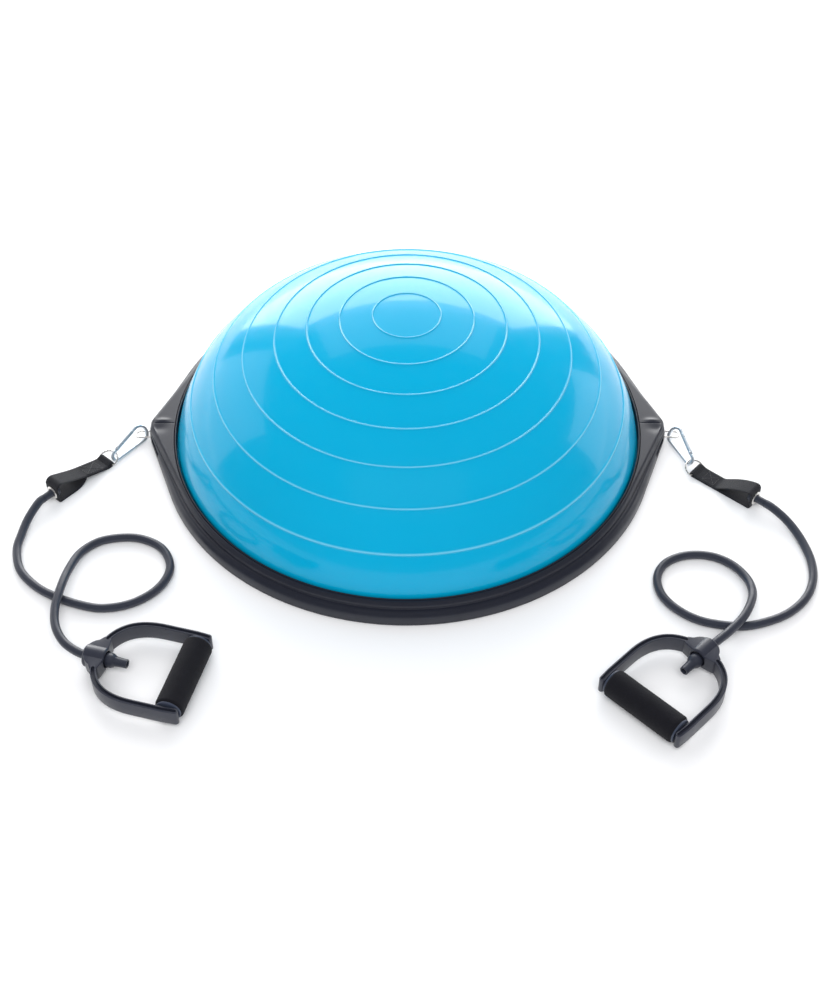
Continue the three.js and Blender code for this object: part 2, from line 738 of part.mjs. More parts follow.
// The webbing's outline from the side, from the seam's end down to the floor, out to the end
// face and back over the top; inwards is a layer's thickness for the outline of the hollow.
function loopOutline(web, inwards) {
  const split = web.seam + 2 * inwards;
  const rise = Math.atan2(web.lift, web.seam - SEAM_START);
  const low = underside(web, web.seam) + inwards;
  const high = underside(web, web.seam) + (inwards > 0 ? WEB + 0.1 : 2 * WEB);
  const floor = STRAP_BASE + inwards;
  const drop = web.lift > 0
    ? curve([[split, low], [split + 3, low - web.lift / 2], [split + 9, floor], [split + 18, floor]], 5)
    : [];
  const middle = [STRAP_LENGTH - web.corner, web.height - web.corner];
  const topTurn = degrees(web.topTurn);
  const topArc = arc(...middle, web.corner - inwards, 0, topTurn, 5);
  const slope = topTurn - QUARTER;
  const [x, z] = topArc.at(-1);
  const descent = curve(
    [
      [x, z],
      [x - web.leave * Math.cos(slope), z - web.leave * Math.sin(slope)],
      [split + web.step * Math.cos(rise), high + web.step * Math.sin(rise)],
      [split, high],
    ],
    7,
  );
  return [
    ...drop,
    ...arc(
      STRAP_LENGTH - BOTTOM_CORNER,
      STRAP_BASE + BOTTOM_CORNER,
      BOTTOM_CORNER - inwards,
      -QUARTER,
      0,
      3,
    ),
    ...topArc,
    ...descent.slice(1),
  ];
}

function strap(side) {
  const web = side.strap;
  const [fold, lap, split] = [8.5, 12, web.seam + 2 * WEB]; // along the strap
  const outline = [
    ...arc(0, RING_BAR_HEIGHT, FOLD_RADIUS + WEB, degrees(70), 3 * QUARTER, 8),
    [SEAM_START, STRAP_BASE],
    ...loopOutline(web, 0),
    [lap, underside(web, lap) + 2 * WEB],
  ];
  const foldHole = [
    ...arc(0, RING_BAR_HEIGHT, FOLD_RADIUS, degrees(60), 3 * QUARTER, 8),
    [fold, underside(web, fold) + WEB],
  ];
  const loopHole = loopOutline(web, WEB);
  if (web.lift === 0) loopHole.push([split, STRAP_BASE + WEB]);
  const webbing = extrude(outline, -WEB_WIDTH / 2, WEB_WIDTH / 2, [foldHole, loopHole]).rotateX(QUARTER);
  const eyelet = revolveAlongX(
    [
      [0, STRAP_LENGTH - 2 * WEB],
      [GROMMET_BORE + GROMMET_RIM + GAP, STRAP_LENGTH - 2 * WEB],
      [GROMMET_BORE + GROMMET_RIM + GAP, STRAP_LENGTH + WEB],
      [0, STRAP_LENGTH + WEB],
    ],
    20,
  ).translate(0, 0, side.strap.eyelet);
  return onStrap(shape(webbing, { cut: [eyelet] }), side);
}

function grommet(side) {
  const inside = STRAP_LENGTH - WEB - GAP;
  const outside = STRAP_LENGTH + GAP;
  const barrel = GROMMET_BORE + GROMMET_RIM;
  const bevel = 0.4;
  return onStrap(
    revolveAlongX(
      [
        [GROMMET_BORE, inside - GROMMET_RIM],
        [GROMMET_FLANGE_RADIUS - bevel, inside - GROMMET_RIM],
        [GROMMET_FLANGE_RADIUS, inside - GROMMET_RIM + bevel],
        [GROMMET_FLANGE_RADIUS, inside],
        [barrel, inside],
        [barrel, outside],
        [GROMMET_FLANGE_RADIUS, outside],
        [GROMMET_FLANGE_RADIUS, outside + bevel],
        [GROMMET_FLANGE_RADIUS - bevel, outside + GROMMET_RIM],
        [GROMMET_BORE, outside + GROMMET_RIM],
      ],
      16,
    ).translate(0, 0, side.strap.eyelet),
    side,
  );
}

// A stopper inside the strap's loop, with a neck that comes out through the grommet.
function tubePlug(side) {
  const seat = STRAP_LENGTH - WEB - GAP - GROMMET_RIM - GAP;
  const headLength = 4.5;
  return onStrap(
    revolveAlongX(
      [
        [0, seat - headLength],
        [PLUG_HEAD_RADIUS - 2, seat - headLength],
        [PLUG_HEAD_RADIUS, seat - headLength + 2],
        [PLUG_HEAD_RADIUS, seat],
        [PLUG_NECK_RADIUS, seat],
        [PLUG_NECK_RADIUS, STRAP_LENGTH + PLUG_NECK_LENGTH],
        [0, STRAP_LENGTH + PLUG_NECK_LENGTH],
      ],
      18,
    ).translate(0, 0, side.strap.eyelet),
    side,
  );
}

// ---------------------------------------------------------------- tube

// Turns a point of the handle's own frame into the object's frame.
function onHandle([x, y, z], { handle }) {
  const up = new THREE.Vector3(0, 0, 1);
  const turned = new THREE.Vector3(x, y, 0).applyAxisAngle(up, degrees(handle.yaw));
  return [handle.at[0] + turned.x, handle.at[1] + turned.y, GRIP_HEIGHT + z];
}

// The whole run of the tube: out of the plug, along the floor, and through the handle's hub.
function tubeRun(side) {
  const yaw = degrees(side.strap.yaw);
  const outOf = (distance) => [
    side.ring.at[0] + (STRAP_LENGTH + distance) * Math.cos(yaw),
    side.ring.at[1] + (STRAP_LENGTH + distance) * Math.sin(yaw),
    side.strap.eyelet,
  ];
  const start = PLUG_NECK_LENGTH + GAP;
  const through = [-HUB_HALF_LENGTH - 4, -HUB_HALF_LENGTH + 4, TUBE_STOP];
  return [
    outOf(start),
    outOf(start + 5),
    ...side.route,
    ...through.map((x) => onHandle([x, 0, 0], side)),
  ];
}

function tube(side) {
  const sides = 8;
  const points = tubeRun(side).map((point) => new THREE.Vector3(...point));
  const run = new THREE.CatmullRomCurve3(points, false, "centripetal");
  const ring = arc(0, 0, TUBE_DIAMETER / 2, 0, 2 * Math.PI * (1 - 1 / sides), sides - 1);
  const section = new THREE.Shape(ring.map(([x, y]) => new THREE.Vector2(x, y)));
  return toGeometry(toSolid(new THREE.ExtrudeGeometry(section, { steps: 58, extrudePath: run })));
}

// ---------------------------------------------------------------- handle

function placeHandle(geometry, { handle }) {
  return geometry.rotateZ(degrees(handle.yaw)).translate(...handle.at, GRIP_HEIGHT);
}

// A band of even width along a line, with round ends.
function band(line, half) {
  const heading = (i) => {
    const [ahead, behind] = [line[Math.min(i + 1, line.length - 1)], line[Math.max(i - 1, 0)]];
    return Math.atan2(ahead[1] - behind[1], ahead[0] - behind[0]);
  };
  const aside = (sign) =>
    line.map(([x, y], i) => [
      x - sign * half * Math.sin(heading(i)),
      y + sign * half * Math.cos(heading(i)),
    ]);
  const cap = (i, turn) => {
    const [x, y] = line[i];
    const from = heading(i) + turn;
    return arc(x, y, half, from, from - 2 * QUARTER, 5).slice(1, -1);
  };
  const last = line.length - 1;
  return [...aside(1), ...cap(last, QUARTER), ...aside(-1).reverse(), ...cap(0, -QUARTER)];
}

// An arm's middle line, from inside the hub's plate out and along to past the grip.
function armLine() {
  const bend = new THREE.CubicBezierCurve(
    new THREE.Vector2(5, 17),
    new THREE.Vector2(12, 40),
    new THREE.Vector2(31, ARM_SPAN + 0.5),
    new THREE.Vector2(58, ARM_SPAN + 0.5),
  );
  return [...bend.getPoints(7).map(({ x, y }) => [x, y]), [ARM_END, ARM_SPAN - 0.5]];
}

function handleBow(side) {
  const half = BOW_HEIGHT / 2;
  const mirror = (line, sign) => line.map(([x, y]) => [x, sign * y]);
  // The hub's plate is round behind, and runs out into a shoulder where each arm leaves it.
  const back = arc(HUB_BACK.middle, 0, HUB_BACK.radius, degrees(115), degrees(170), 5);
  const hubSide = [[HUB_HALF_LENGTH, HUB_MOUTH.radius], ...HUB_SHOULDER, ...back];
  const plate = [...hubSide, ...mirror(hubSide, -1).reverse()];
  const barrel = [
    [0, -HUB_HALF_LENGTH],
    [HUB_RADIUS - 1.5, -HUB_HALF_LENGTH],
    [HUB_RADIUS, -HUB_HALF_LENGTH + 1.5],
    [HUB_RADIUS, HUB_HALF_LENGTH - 1.5],
    [HUB_RADIUS - 1.5, HUB_HALF_LENGTH],
    [0, HUB_HALF_LENGTH],
  ];
  const [root, next, ...rest] = armLine();
  const start = root.map((value, k) => value + (next[k] - value) / 4);
  const groove = [start, next, ...rest];
  const arms = [1, -1].map((sign) =>
    extrude(band(mirror(armLine(), sign), ARM_THICKNESS / 2), -half, half),
  );
  const grooves = [1, -1].flatMap((sign) => {
    const outline = band(mirror(groove, sign), ARM_GROOVE.width / 2);
    return [
      extrude(outline, half - ARM_GROOVE.depth, half + 1),
      extrude(outline, -half - 1, ARM_GROOVE.depth - half),
    ];
  });
  const stubs = [1, -1].map((sign) =>
    new THREE.CylinderGeometry(STUB_RADIUS, STUB_RADIUS, ARM_SPAN - STUB_TIP, 14).translate(
      GRIP_OFFSET,
      (sign * (ARM_SPAN + STUB_TIP)) / 2,
      0,
    ),
  );
  const bore = revolveAlongX(
    [
      [0, -HUB_HALF_LENGTH - 1],
      [TUBE_DIAMETER / 2 + GAP, -HUB_HALF_LENGTH - 1],
      [TUBE_DIAMETER / 2 + GAP, HUB_MOUTH.from],
      [HUB_MOUTH.radius, HUB_MOUTH.from],
      [HUB_MOUTH.radius, HUB_HALF_LENGTH + 1],
      [0, HUB_HALF_LENGTH + 1],
    ],
    18,
  );
  const made = shape(extrude(plate, -half, half), {
    added: [revolveAlongX(barrel, 24), ...arms, ...stubs],
    cut: [bore, ...grooves],
  });
  return placeHandle(made, side);
}

// Turned about the grip's axis: the outline is (radius, distance along the axis).
function onGrip(outline, sides, side) {
  return placeHandle(revolve(outline, sides).rotateX(QUARTER).translate(GRIP_OFFSET, 0, 0), side);
}

function gripCore(side) {
  const end = CORE_HALF_LENGTH;
  const socketDepth = end - STUB_TIP + 2 * GAP;
  const half = [
    [0, end - socketDepth],
    [STUB_RADIUS + GAP, end - socketDepth],
    [STUB_RADIUS + GAP, end],
    [CORE_FLANGE_RADIUS - 0.6, end],
    [CORE_FLANGE_RADIUS, end - 0.6],
    [CORE_FLANGE_RADIUS, end - CORE_FLANGE],
    [CORE_RADIUS, end - CORE_FLANGE],
  ];
  const mirrored = half.map(([radius, along]) => [radius, -along]).reverse();
  return onGrip([...half, ...mirrored], 18, side);
}

function foamSleeve(side) {
  const end = CORE_HALF_LENGTH - CORE_FLANGE - GAP;
  const round = 1.2;
  const half = [
    [CORE_RADIUS + GAP, end],
    [FOAM_RADIUS - round, end],
    [FOAM_RADIUS, end - round],
  ];
  const mirrored = half.map(([radius, along]) => [radius, -along]).reverse();
  return onGrip([...half, ...mirrored], 24, side);
}

// ---------------------------------------------------------------- tube's bulged end

function tubeEnd(side) {
  const neck = TUBE_DIAMETER / 2;
  const wall = (radius, sphere) => Math.asin(radius / sphere);
  const along = (points) => points.map(([x, radius]) => [radius, x]);
  const outer = arc(
    BULGE.at,
    0,
    BULGE.radius,
    Math.PI - wall(neck, BULGE.radius),
    QUARTER / 2,
    6,
  );
  const inner = arc(
    BULGE.at,
    0,
    BULGE.cavity,
    wall(TAIL.bore, BULGE.cavity),
    Math.PI - wall(TAIL.bore, BULGE.cavity),
    5,
  );
  const outline = [
    [TAIL.bore, TUBE_STOP + GAP],
    [neck, TUBE_STOP + GAP],
    ...along(outer),
    [TAIL.radius, TAIL.start],
    [TAIL.radius, TAIL.end],
    [TAIL.bore, TAIL.end],
    ...along(inner),
  ];
  return placeHandle(revolveAlongX(outline, 16), side);
}

function stopperBall(side) {
  return placeHandle(new THREE.SphereGeometry(BULGE.ball, 12, 8).translate(BULGE.at, 0, 0), side);
}

for (const side of SIDES) {
  const chain = new THREE.Group();
  const piece = (name, finish, geometry) => add(chain, `${side.name}_${name}`, finish, geometry);
  piece("anchor_loop", "nickel", anchorLoop(side.sign));
  piece("hook_body", "zinc", hookBody(side));
  piece("hook_gate", "zinc", hookGate(side));
  piece("hook_rivet", "zinc", hookRivet(side));
  piece("strap_ring", "nickel", strapRing(side));
  piece("strap", "webbing", strap(side));
  piece("grommet", "grommet", grommet(side));
  piece("tube_plug", "tube", tubePlug(side));
  piece("tube", "tube", tube(side));
  piece("tube_end", "tube", tubeEnd(side));
  piece("stopper_ball", "tube", stopperBall(side));
  piece("handle_bow", "bow", handleBow(side));
  piece("grip_core", "core", gripCore(side));
  piece("foam_sleeve", "foam", foamSleeve(side));
  object.add(chain);
}

export default object;
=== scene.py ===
"""A balance dome trainer with two elastic tubes and handles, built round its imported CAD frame."""

import math

import bmesh
import bpy
from mathutils import Matrix, Vector, noise


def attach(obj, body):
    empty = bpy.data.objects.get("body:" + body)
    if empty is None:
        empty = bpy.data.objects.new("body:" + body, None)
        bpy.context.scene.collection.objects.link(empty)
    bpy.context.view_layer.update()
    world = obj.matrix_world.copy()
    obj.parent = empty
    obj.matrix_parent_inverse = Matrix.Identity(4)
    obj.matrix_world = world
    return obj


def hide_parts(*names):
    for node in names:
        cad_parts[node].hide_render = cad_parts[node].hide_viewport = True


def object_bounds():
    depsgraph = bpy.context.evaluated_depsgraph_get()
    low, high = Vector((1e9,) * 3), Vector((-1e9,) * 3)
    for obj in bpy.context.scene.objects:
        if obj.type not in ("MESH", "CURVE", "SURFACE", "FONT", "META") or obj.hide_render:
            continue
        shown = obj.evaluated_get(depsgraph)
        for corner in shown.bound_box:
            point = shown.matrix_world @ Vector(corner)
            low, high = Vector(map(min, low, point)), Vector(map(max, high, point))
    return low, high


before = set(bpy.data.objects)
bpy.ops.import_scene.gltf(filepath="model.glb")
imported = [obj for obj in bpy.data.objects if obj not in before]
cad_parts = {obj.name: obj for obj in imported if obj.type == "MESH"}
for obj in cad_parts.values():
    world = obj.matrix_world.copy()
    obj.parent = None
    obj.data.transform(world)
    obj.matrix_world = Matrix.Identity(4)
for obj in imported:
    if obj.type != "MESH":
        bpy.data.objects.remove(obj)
cad_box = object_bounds()

MM = 0.001  # sizes and places below are in millimetres, as in the CAD source
TAU = 2 * math.pi
QUARTER = math.pi / 2

# ---- sizes shared with the CAD source

GAP = 0.3
PLATE_TOP = 6.3
SEAM_RADIUS = 270.9  # where the dome goes down into the rim
FLANGE_RADIUS, FLANGE_TOP = 277.9, 12
DOME_TOP = 191.4
DOME_WALL = 3.5
CROWN_RADIUS, CROWN_ANGLE = 343.7, math.radians(34.9)
SHOULDER_RADIUS = 188.9
RIB_RADII = [38, 75, 112, 149, 186, 221, 251]
RIB_HALF, RIB_HEIGHT = 1.4, 1.2
VALVE = (0, 120)
VALVE_HOLE, VALVE_WELL = 8.3, 15
SCREW_CIRCLE, FOOT_CIRCLE = 281, 225
SCREW_BORE, RIM_BORE_TOP = 1.9, 14.8
FOOT_RADIUS, CENTRE_FOOT_RADIUS, FOOT_HEIGHT = 12, 30, 3.2
LUG_TIP, LUG_HALF = 306, 6.5
LOOP_PIVOT, LOOP_HALF, LOOP_REACH = (296, 7), 5, 27.5
HOOK_WIDE, HOOK_NARROW, HOOK_CENTRES = 9.4, 4.8, 41.8
HOOK_WIRE, GATE_ROD, THIN_WIRE = 4, 4.4, 2  # diameters
RING_HALF, RING_BAR_HEIGHT = 12, 3.3
STRAP_LENGTH, STRAP_BASE = 80, 0.3
WEB, WEB_WIDTH = 1.6, 21
SEAM_START = 6  # where the sewn part may start to rise, from the ring's bar
BOTTOM_CORNER = 3
TUBE_DIAMETER, TUBE_OFFSET = 9.5, 13.3  # the tube starts this far past the strap's end
TUBE_STOP, BULGE_MIDDLE = 7, 16  # past the hub's middle
GRIP_HEIGHT, GRIP_OFFSET = 15.5, 97.5
HUB_HALF, BOW_HALF, ARM_SPAN = 12, 9.5, 50
ARM_HALF, GROOVE_HALF = 3.25, 1.7

# Each side's own lie, as in the CAD source; angles in degrees. A strap is sewn as far as seam,
# where its underside is lift above the floor; leave and step say how fast its upper layer leaves
# the end's top corner and the seam; eyelet is its height.
SIDES = {
    "left": {
        "sign": -1,
        "hook": {"at": (-318, -3.7, 9.7), "yaw": -126, "pitch": 5.2, "roll": 55.4},
        "ring": {"at": (-353.5, -42.1), "pitch": 16.2},
        "strap": {
            "yaw": -131.7, "height": 26, "eyelet": 11.2, "corner": 7, "top_turn": 112,
            "seam": 36, "lift": 9, "leave": 18, "step": 14,
        },
        "handle": {"at": (-323, -344), "yaw": -15.3},
        "route": [
            (-0.4248, -0.1286, 0.0098), (-0.4298, -0.1438, 0.0078), (-0.433, -0.1615, 0.006),
            (-0.4348, -0.183, 0.0049), (-0.426, -0.214, 0.0049), (-0.405, -0.238, 0.0049),
            (-0.383, -0.252, 0.0049), (-0.354, -0.264, 0.0049), (-0.328, -0.269, 0.0049),
            (-0.297, -0.262, 0.0049), (-0.271, -0.241, 0.0049), (-0.261, -0.212, 0.0049),
            (-0.272, -0.184, 0.0049), (-0.295, -0.169, 0.0049), (-0.317, -0.166, 0.0049),
            (-0.344, -0.172, 0.0049), (-0.362, -0.189, 0.006), (-0.371, -0.218, 0.0105),
            (-0.375, -0.253, 0.0154), (-0.376, -0.281, 0.0156), (-0.371, -0.305, 0.0155),
            (-0.358, -0.326, 0.0155),
        ],
    },
    "right": {
        "sign": 1,
        "hook": {"at": (318.3, -5.7, 9.2), "yaw": -72.2, "pitch": 2.2, "roll": 49.7},
        "ring": {"at": (338.2, -58), "pitch": 20.7},
        "strap": {
            "yaw": -41, "height": 24, "eyelet": 11, "corner": 5.5, "top_turn": 103,
            "seam": 30, "lift": 0, "leave": 24, "step": 6,
        },
        "handle": {"at": (311.6, -337.6), "yaw": -134.7},
        "route": [
            (0.421, -0.1315, 0.0098), (0.43, -0.1435, 0.008), (0.438, -0.159, 0.0063),
            (0.4442, -0.178, 0.0052), (0.448, -0.203, 0.0049), (0.445, -0.230, 0.0049),
            (0.433, -0.255, 0.0049), (0.411, -0.276, 0.0049), (0.386, -0.288, 0.0049),
            (0.360, -0.294, 0.0049), (0.336, -0.292, 0.0049), (0.312, -0.285, 0.0049),
            (0.290, -0.269, 0.0049), (0.277, -0.249, 0.0049), (0.275, -0.225, 0.0049),
            (0.285, -0.206, 0.0049), (0.303, -0.195, 0.0049), (0.323, -0.192, 0.0049),
            (0.343, -0.196, 0.0049), (0.360, -0.208, 0.0055), (0.372, -0.228, 0.0075),
            (0.375, -0.249, 0.011), (0.371, -0.267, 0.014), (0.359, -0.290, 0.0156),
            (0.340, -0.311, 0.0155),
        ],
    },
}


# ---- camera, floor and light


def stand_camera():
    """Looks down on the trainer from the front, on a line just right of its middle."""
    data = bpy.data.cameras.new("camera")
    data.lens = 58.2
    data.sensor_width = 36
    camera = bpy.data.objects.new("camera", data)
    bpy.context.scene.collection.objects.link(camera)
    camera.location = (0.0097, -1.3873, 1.3484)
    camera.rotation_euler = (math.radians(43.6), 0, 0)
    bpy.context.scene.camera = camera
    bpy.context.scene.view_settings.view_transform = "Standard"


def area_light(name, place, target, size, power, mirrored=True):
    """A soft panel of (width, height) metres; the one that isn't mirrored leaves no highlight."""
    data = bpy.data.lights.new(name, "AREA")
    data.shape = "RECTANGLE"
    data.size, data.size_y = size
    data.energy = power
    light = bpy.data.objects.new(name, data)
    bpy.context.scene.collection.objects.link(light)
    light.location = place
    aim = Vector(target) - Vector(place)
    light.rotation_euler = aim.to_track_quat("-Z", "Y").to_euler()
    light.visible_camera = False
    light.visible_glossy = mirrored


stand_camera()


# ---- frames of the pieces


def turn(degrees, axis):
    return Matrix.Rotation(math.radians(degrees), 4, axis)


def move(x, y, z):
    return Matrix.Translation(Vector((x, y, z)) * MM)


def strap_frame(side):
    """The strap lies along +X from the ring's bar at X = 0."""
    return move(*side["ring"]["at"], 0) @ turn(side["strap"]["yaw"], "Z")


def ring_frame(side):
    return strap_frame(side) @ move(0, 0, RING_BAR_HEIGHT) @ turn(side["ring"]["pitch"], "Y")


def eyelet_frame(side):
    """The eyelet's axis is Z, and its origin is on the strap's end face."""
    return strap_frame(side) @ move(STRAP_LENGTH, 0, side["strap"]["eyelet"]) @ turn(90, "Y")


def handle_frame(side):
    """The hub's axis is X, and the grip crosses it at GRIP_OFFSET."""
    return move(*side["handle"]["at"], GRIP_HEIGHT) @ turn(side["handle"]["yaw"], "Z")


def hub_frame(side):
    """The hub's axis is Z."""
    return handle_frame(side) @ turn(90, "Y")


def grip_frame(side):
    """The grip's axis is Z."""
    return handle_frame(side) @ move(GRIP_OFFSET, 0, 0) @ turn(90, "X")


def loop_frame(side):
    flip = turn(180 if side["sign"] < 0 else 0, "Z")
    return move(side["sign"] * LOOP_PIVOT[0], 0, LOOP_PIVOT[1]) @ flip @ turn(5, "Y")


def hook_frame(side):
    """The hook lies along X, its wide end round the origin and its gate on the +Y side."""
    hook = side["hook"]
    lie = turn(hook["yaw"], "Z") @ turn(hook["pitch"], "Y") @ turn(side["sign"] * hook["roll"], "X")
    return move(*hook["at"]) @ lie @ turn(180 if side["sign"] < 0 else 0, "X")


# ---- lines and outlines


def arc(x, y, radius, start, end, steps):
    return [
        (x + radius * math.cos(a), y + radius * math.sin(a))
        for a in (start + (end - start) * i / steps for i in range(steps + 1))
    ]


def bezier(a, b, c, d, steps):
    """Points of a cubic curve, without its first one."""
    points = []
    for i in range(1, steps + 1):
        t = i / steps
        weights = ((1 - t) ** 3, 3 * t * (1 - t) ** 2, 3 * t * t * (1 - t), t**3)
        points.append(tuple(sum(w * p[k] for w, p in zip(weights, (a, b, c, d))) for k in (0, 1)))
    return points


def soften(outline, radius, closed=False, steps=4):
    """The outline with each corner replaced by a small curve that starts radius away from it."""
    count = len(outline)
    points = []
    for i, corner in enumerate(outline):
        if not closed and i in (0, count - 1):
            points.append(tuple(corner))
            continue
        p = Vector(corner)
        before = Vector(outline[i - 1]) - p
        after = Vector(outline[(i + 1) % count]) - p
        a = p + before.normalized() * min(radius, before.length * 0.49)
        b = p + after.normalized() * min(radius, after.length * 0.49)
        for t in (k / steps for k in range(steps + 1)):
            points.append(tuple(a * (1 - t) ** 2 + p * 2 * t * (1 - t) + b * t * t))
    return points


def resample(line, spacing, closed=False):
    """Points evenly spread along a line, about spacing apart."""
    points = [Vector(p) for p in line]
    if closed:
        points.append(points[0])
    lengths = [0.0]
    for a, b in zip(points, points[1:]):
        lengths.append(lengths[-1] + (b - a).length)
    count = max(2, round(lengths[-1] / spacing))
    made, k = [], 0
    for i in range(count + (0 if closed else 1)):
        want = lengths[-1] * i / count
        while k < len(points) - 2 and lengths[k + 1] < want:
            k += 1
        span = max(lengths[k + 1] - lengths[k], 1e-12)
        made.append(points[k].lerp(points[k + 1], (want - lengths[k]) / span))
    return made


def flowing(points, spacing):
    """A smooth line through points: centripetal Catmull-Rom, about spacing between its points."""
    line = [Vector(p) for p in points]
    ends = [line[0] * 2 - line[1], *line, line[-1] * 2 - line[-2]]
    made = [line[0]]
    for p0, p1, p2, p3 in zip(ends, ends[1:], ends[2:], ends[3:]):
        t0 = 0.0
        t1 = t0 + math.sqrt((p1 - p0).length)
        t2 = t1 + math.sqrt((p2 - p1).length)
        t3 = t2 + math.sqrt((p3 - p2).length)
        steps = max(1, round((p2 - p1).length / spacing))
        for i in range(1, steps + 1):
            t = t1 + (t2 - t1) * i / steps
            a1 = p0.lerp(p1, (t - t0) / (t1 - t0))
            a2 = p1.lerp(p2, (t - t1) / (t2 - t1))
            a3 = p2.lerp(p3, (t - t2) / (t3 - t2))
            b1 = a1.lerp(a2, (t - t0) / (t2 - t0))
            b2 = a2.lerp(a3, (t - t1) / (t3 - t1))
            made.append(b1.lerp(b2, (t - t1) / (t2 - t1)))
    return made


def band(line, half, ends=14):
    """The outline of a band of even width along a flat line, with round ends."""
    last = len(line) - 1

    def heading(i):
        ahead, behind = line[min(i + 1, last)], line[max(i - 1, 0)]
        return math.atan2(ahead[1] - behind[1], ahead[0] - behind[0])

    def aside(sign):
        return [
            (x - sign * half * math.sin(heading(i)), y + sign * half * math.cos(heading(i)))
            for i, (x, y) in enumerate(line)
        ]

    far = arc(*line[last], half, heading(last) + QUARTER, heading(last) - QUARTER, ends)[1:-1]
    near = arc(*line[0], half, heading(0) - QUARTER, heading(0) - 3 * QUARTER, ends)[1:-1]
    return [*aside(1), *far, *reversed(aside(-1)), *near]


def rounded_box(x, y, corner, steps=6):
    """A flat outline between x[0] and x[1], y[0] and y[1], with round corners."""
    low, high = (x[0] + corner, y[0] + corner), (x[1] - corner, y[1] - corner)
    outline = []
    for k, middle in enumerate((high, (low[0], high[1]), low, (high[0], low[1]))):
        outline += arc(*middle, corner, k * QUARTER, (k + 1) * QUARTER, steps)
    return outline


# ---- meshes


def piece(name, skin, at=None, sharp=38):
    """A new object from (vertices in millimetres, faces), smooth but for edges over sharp."""
    vertices, faces = skin
    mesh = bpy.data.meshes.new(name)
    mesh.from_pydata([Vector(v) * MM for v in vertices], [], faces)
    made = bmesh.new()
    made.from_mesh(mesh)
    bmesh.ops.recalc_face_normals(made, faces=made.faces)
    made.to_mesh(mesh)
    made.free()
    obj = bpy.data.objects.new(name, mesh)
    bpy.context.scene.collection.objects.link(obj)
    obj.matrix_world = at or Matrix.Identity(4)
    smooth(obj, sharp)
    return obj


def smooth(obj, sharp=38):
    obj.data.shade_smooth()
    obj.data.set_sharp_from_angle(angle=math.radians(sharp))


def rows_skin(rows, wrap=False):
    """A skin over rows of equal length, or of one point; wrap joins the last row to the first."""
    vertices, numbers = [], []
    for row in rows:
        numbers.append(range(len(vertices), len(vertices) + len(row)))
        vertices.extend(row)
    sides = max(len(row) for row in rows)
    faces = []
    for a, b in zip(numbers, numbers[1:] + (numbers[:1] if wrap else [])):
        for i in range(sides):
            j = (i + 1) % sides
            corners = (a[i % len(a)], a[j % len(a)], b[j % len(b)], b[i % len(b)])
            if len(set(corners)) > 2:
                faces.append(tuple(dict.fromkeys(corners)))
    return vertices, faces


def ring_of(radius, height, sides, centre=(0, 0)):
    """A level circle of points, or one point where the radius is nothing."""
    if radius < 1e-6:
        return [(*centre, height)]
    angles = [TAU * i / sides for i in range(sides)]
    return [
        (centre[0] + radius * math.cos(a), centre[1] + radius * math.sin(a), height) for a in angles
    ]


def lathe(outline, sides=64, wrap=False, centre=(0, 0)):
    """(radius, height) points turned about Z; wrap closes the outline on itself."""
    return rows_skin([ring_of(r, z, sides, centre) for r, z in outline], wrap)


def slab(outline, bottom, top, edge, steps=3):
    """A flat piece with rounded edges: outline(inset) is its outline, moved inwards by inset."""
    rows = []
    for end, towards in ((bottom, 1), (top, -1)):
        levels = []
        for a in (QUARTER * i / steps for i in range(steps + 1)):
            height = end + towards * edge * (1 - math.sin(a))
            levels.append([(x, y, height) for x, y in outline(edge * (1 - math.cos(a)))])
        rows.extend(reversed(levels) if towards > 0 else levels)
    count = len(rows[0])
    vertices, faces = rows_skin(rows)
    faces.append(tuple(range(count)))
    faces.append(tuple(range((len(rows) - 1) * count, len(rows) * count)))
    return vertices, faces


def block(x, y, z, corner, edge, eased=(0, 0, 0, 0), corner_steps=6, edge_steps=1):
    """A slab between limits; eased says which of its sides (-X, +X, -Y, +Y) have rounded edges."""

    def outline(inset):
        left, right, front, back = (inset * share for share in eased)
        across, along = (x[0] + left, x[1] - right), (y[0] + front, y[1] - back)
        return rounded_box(across, along, corner, corner_steps)

    return slab(outline, *z, edge, edge_steps)


def pin(radius, low, high, sides):
    """An upright round pin."""
    return lathe([(0, low), (radius, low), (radius, high), (0, high)], sides)


def rod(line, radius, sides=20, wrap=False, rounding=0.0):
    """A round rod along a line, closed on itself or with ends rounded over a length of rounding."""
    points = [Vector(p) if len(p) == 3 else Vector((*p, 0)) for p in line]
    radii = [radius] * len(points)
    if rounding:
        angles = [QUARTER * i / 4 for i in range(4)]
        thin = [radius - rounding + rounding * math.sin(a) for a in angles]
        back = [rounding * math.cos(a) for a in angles]
        first, last = (points[1] - points[0]).normalized(), (points[-2] - points[-1]).normalized()
        head = [points[0] + first * (rounding - b) for b in back]
        tail = [points[-1] + last * (rounding - b) for b in back]
        points = [*head, points[0] + first * rounding, *points[1:-1], points[-1] + last * rounding]
        points += reversed(tail)
        radii = [*thin, *[radius] * (len(points) - 8), *reversed(thin)]
    count = len(points)
    last = count - 1
    rows = []
    up = Vector((0, 0, 1))
    for i, point in enumerate(points):
        ahead = points[(i + 1) % count] if wrap else points[min(i + 1, last)]
        behind = points[i - 1] if wrap else points[max(i - 1, 0)]
        tangent = (ahead - behind).normalized()
        if i == 0 and abs(tangent.z) > 0.9:
            up = Vector((1, 0, 0))
        up = (up - tangent * up.dot(tangent)).normalized()
        aside = tangent.cross(up)
        angles = [TAU * k / sides for k in range(sides)]
        rows.append([point + (aside * math.cos(a) + up * math.sin(a)) * radii[i] for a in angles])
    vertices, faces = rows_skin(rows, wrap)
    if not wrap:
        faces.append(tuple(range(sides)))
        faces.append(tuple(range(last * sides, count * sides)))
    return vertices, faces


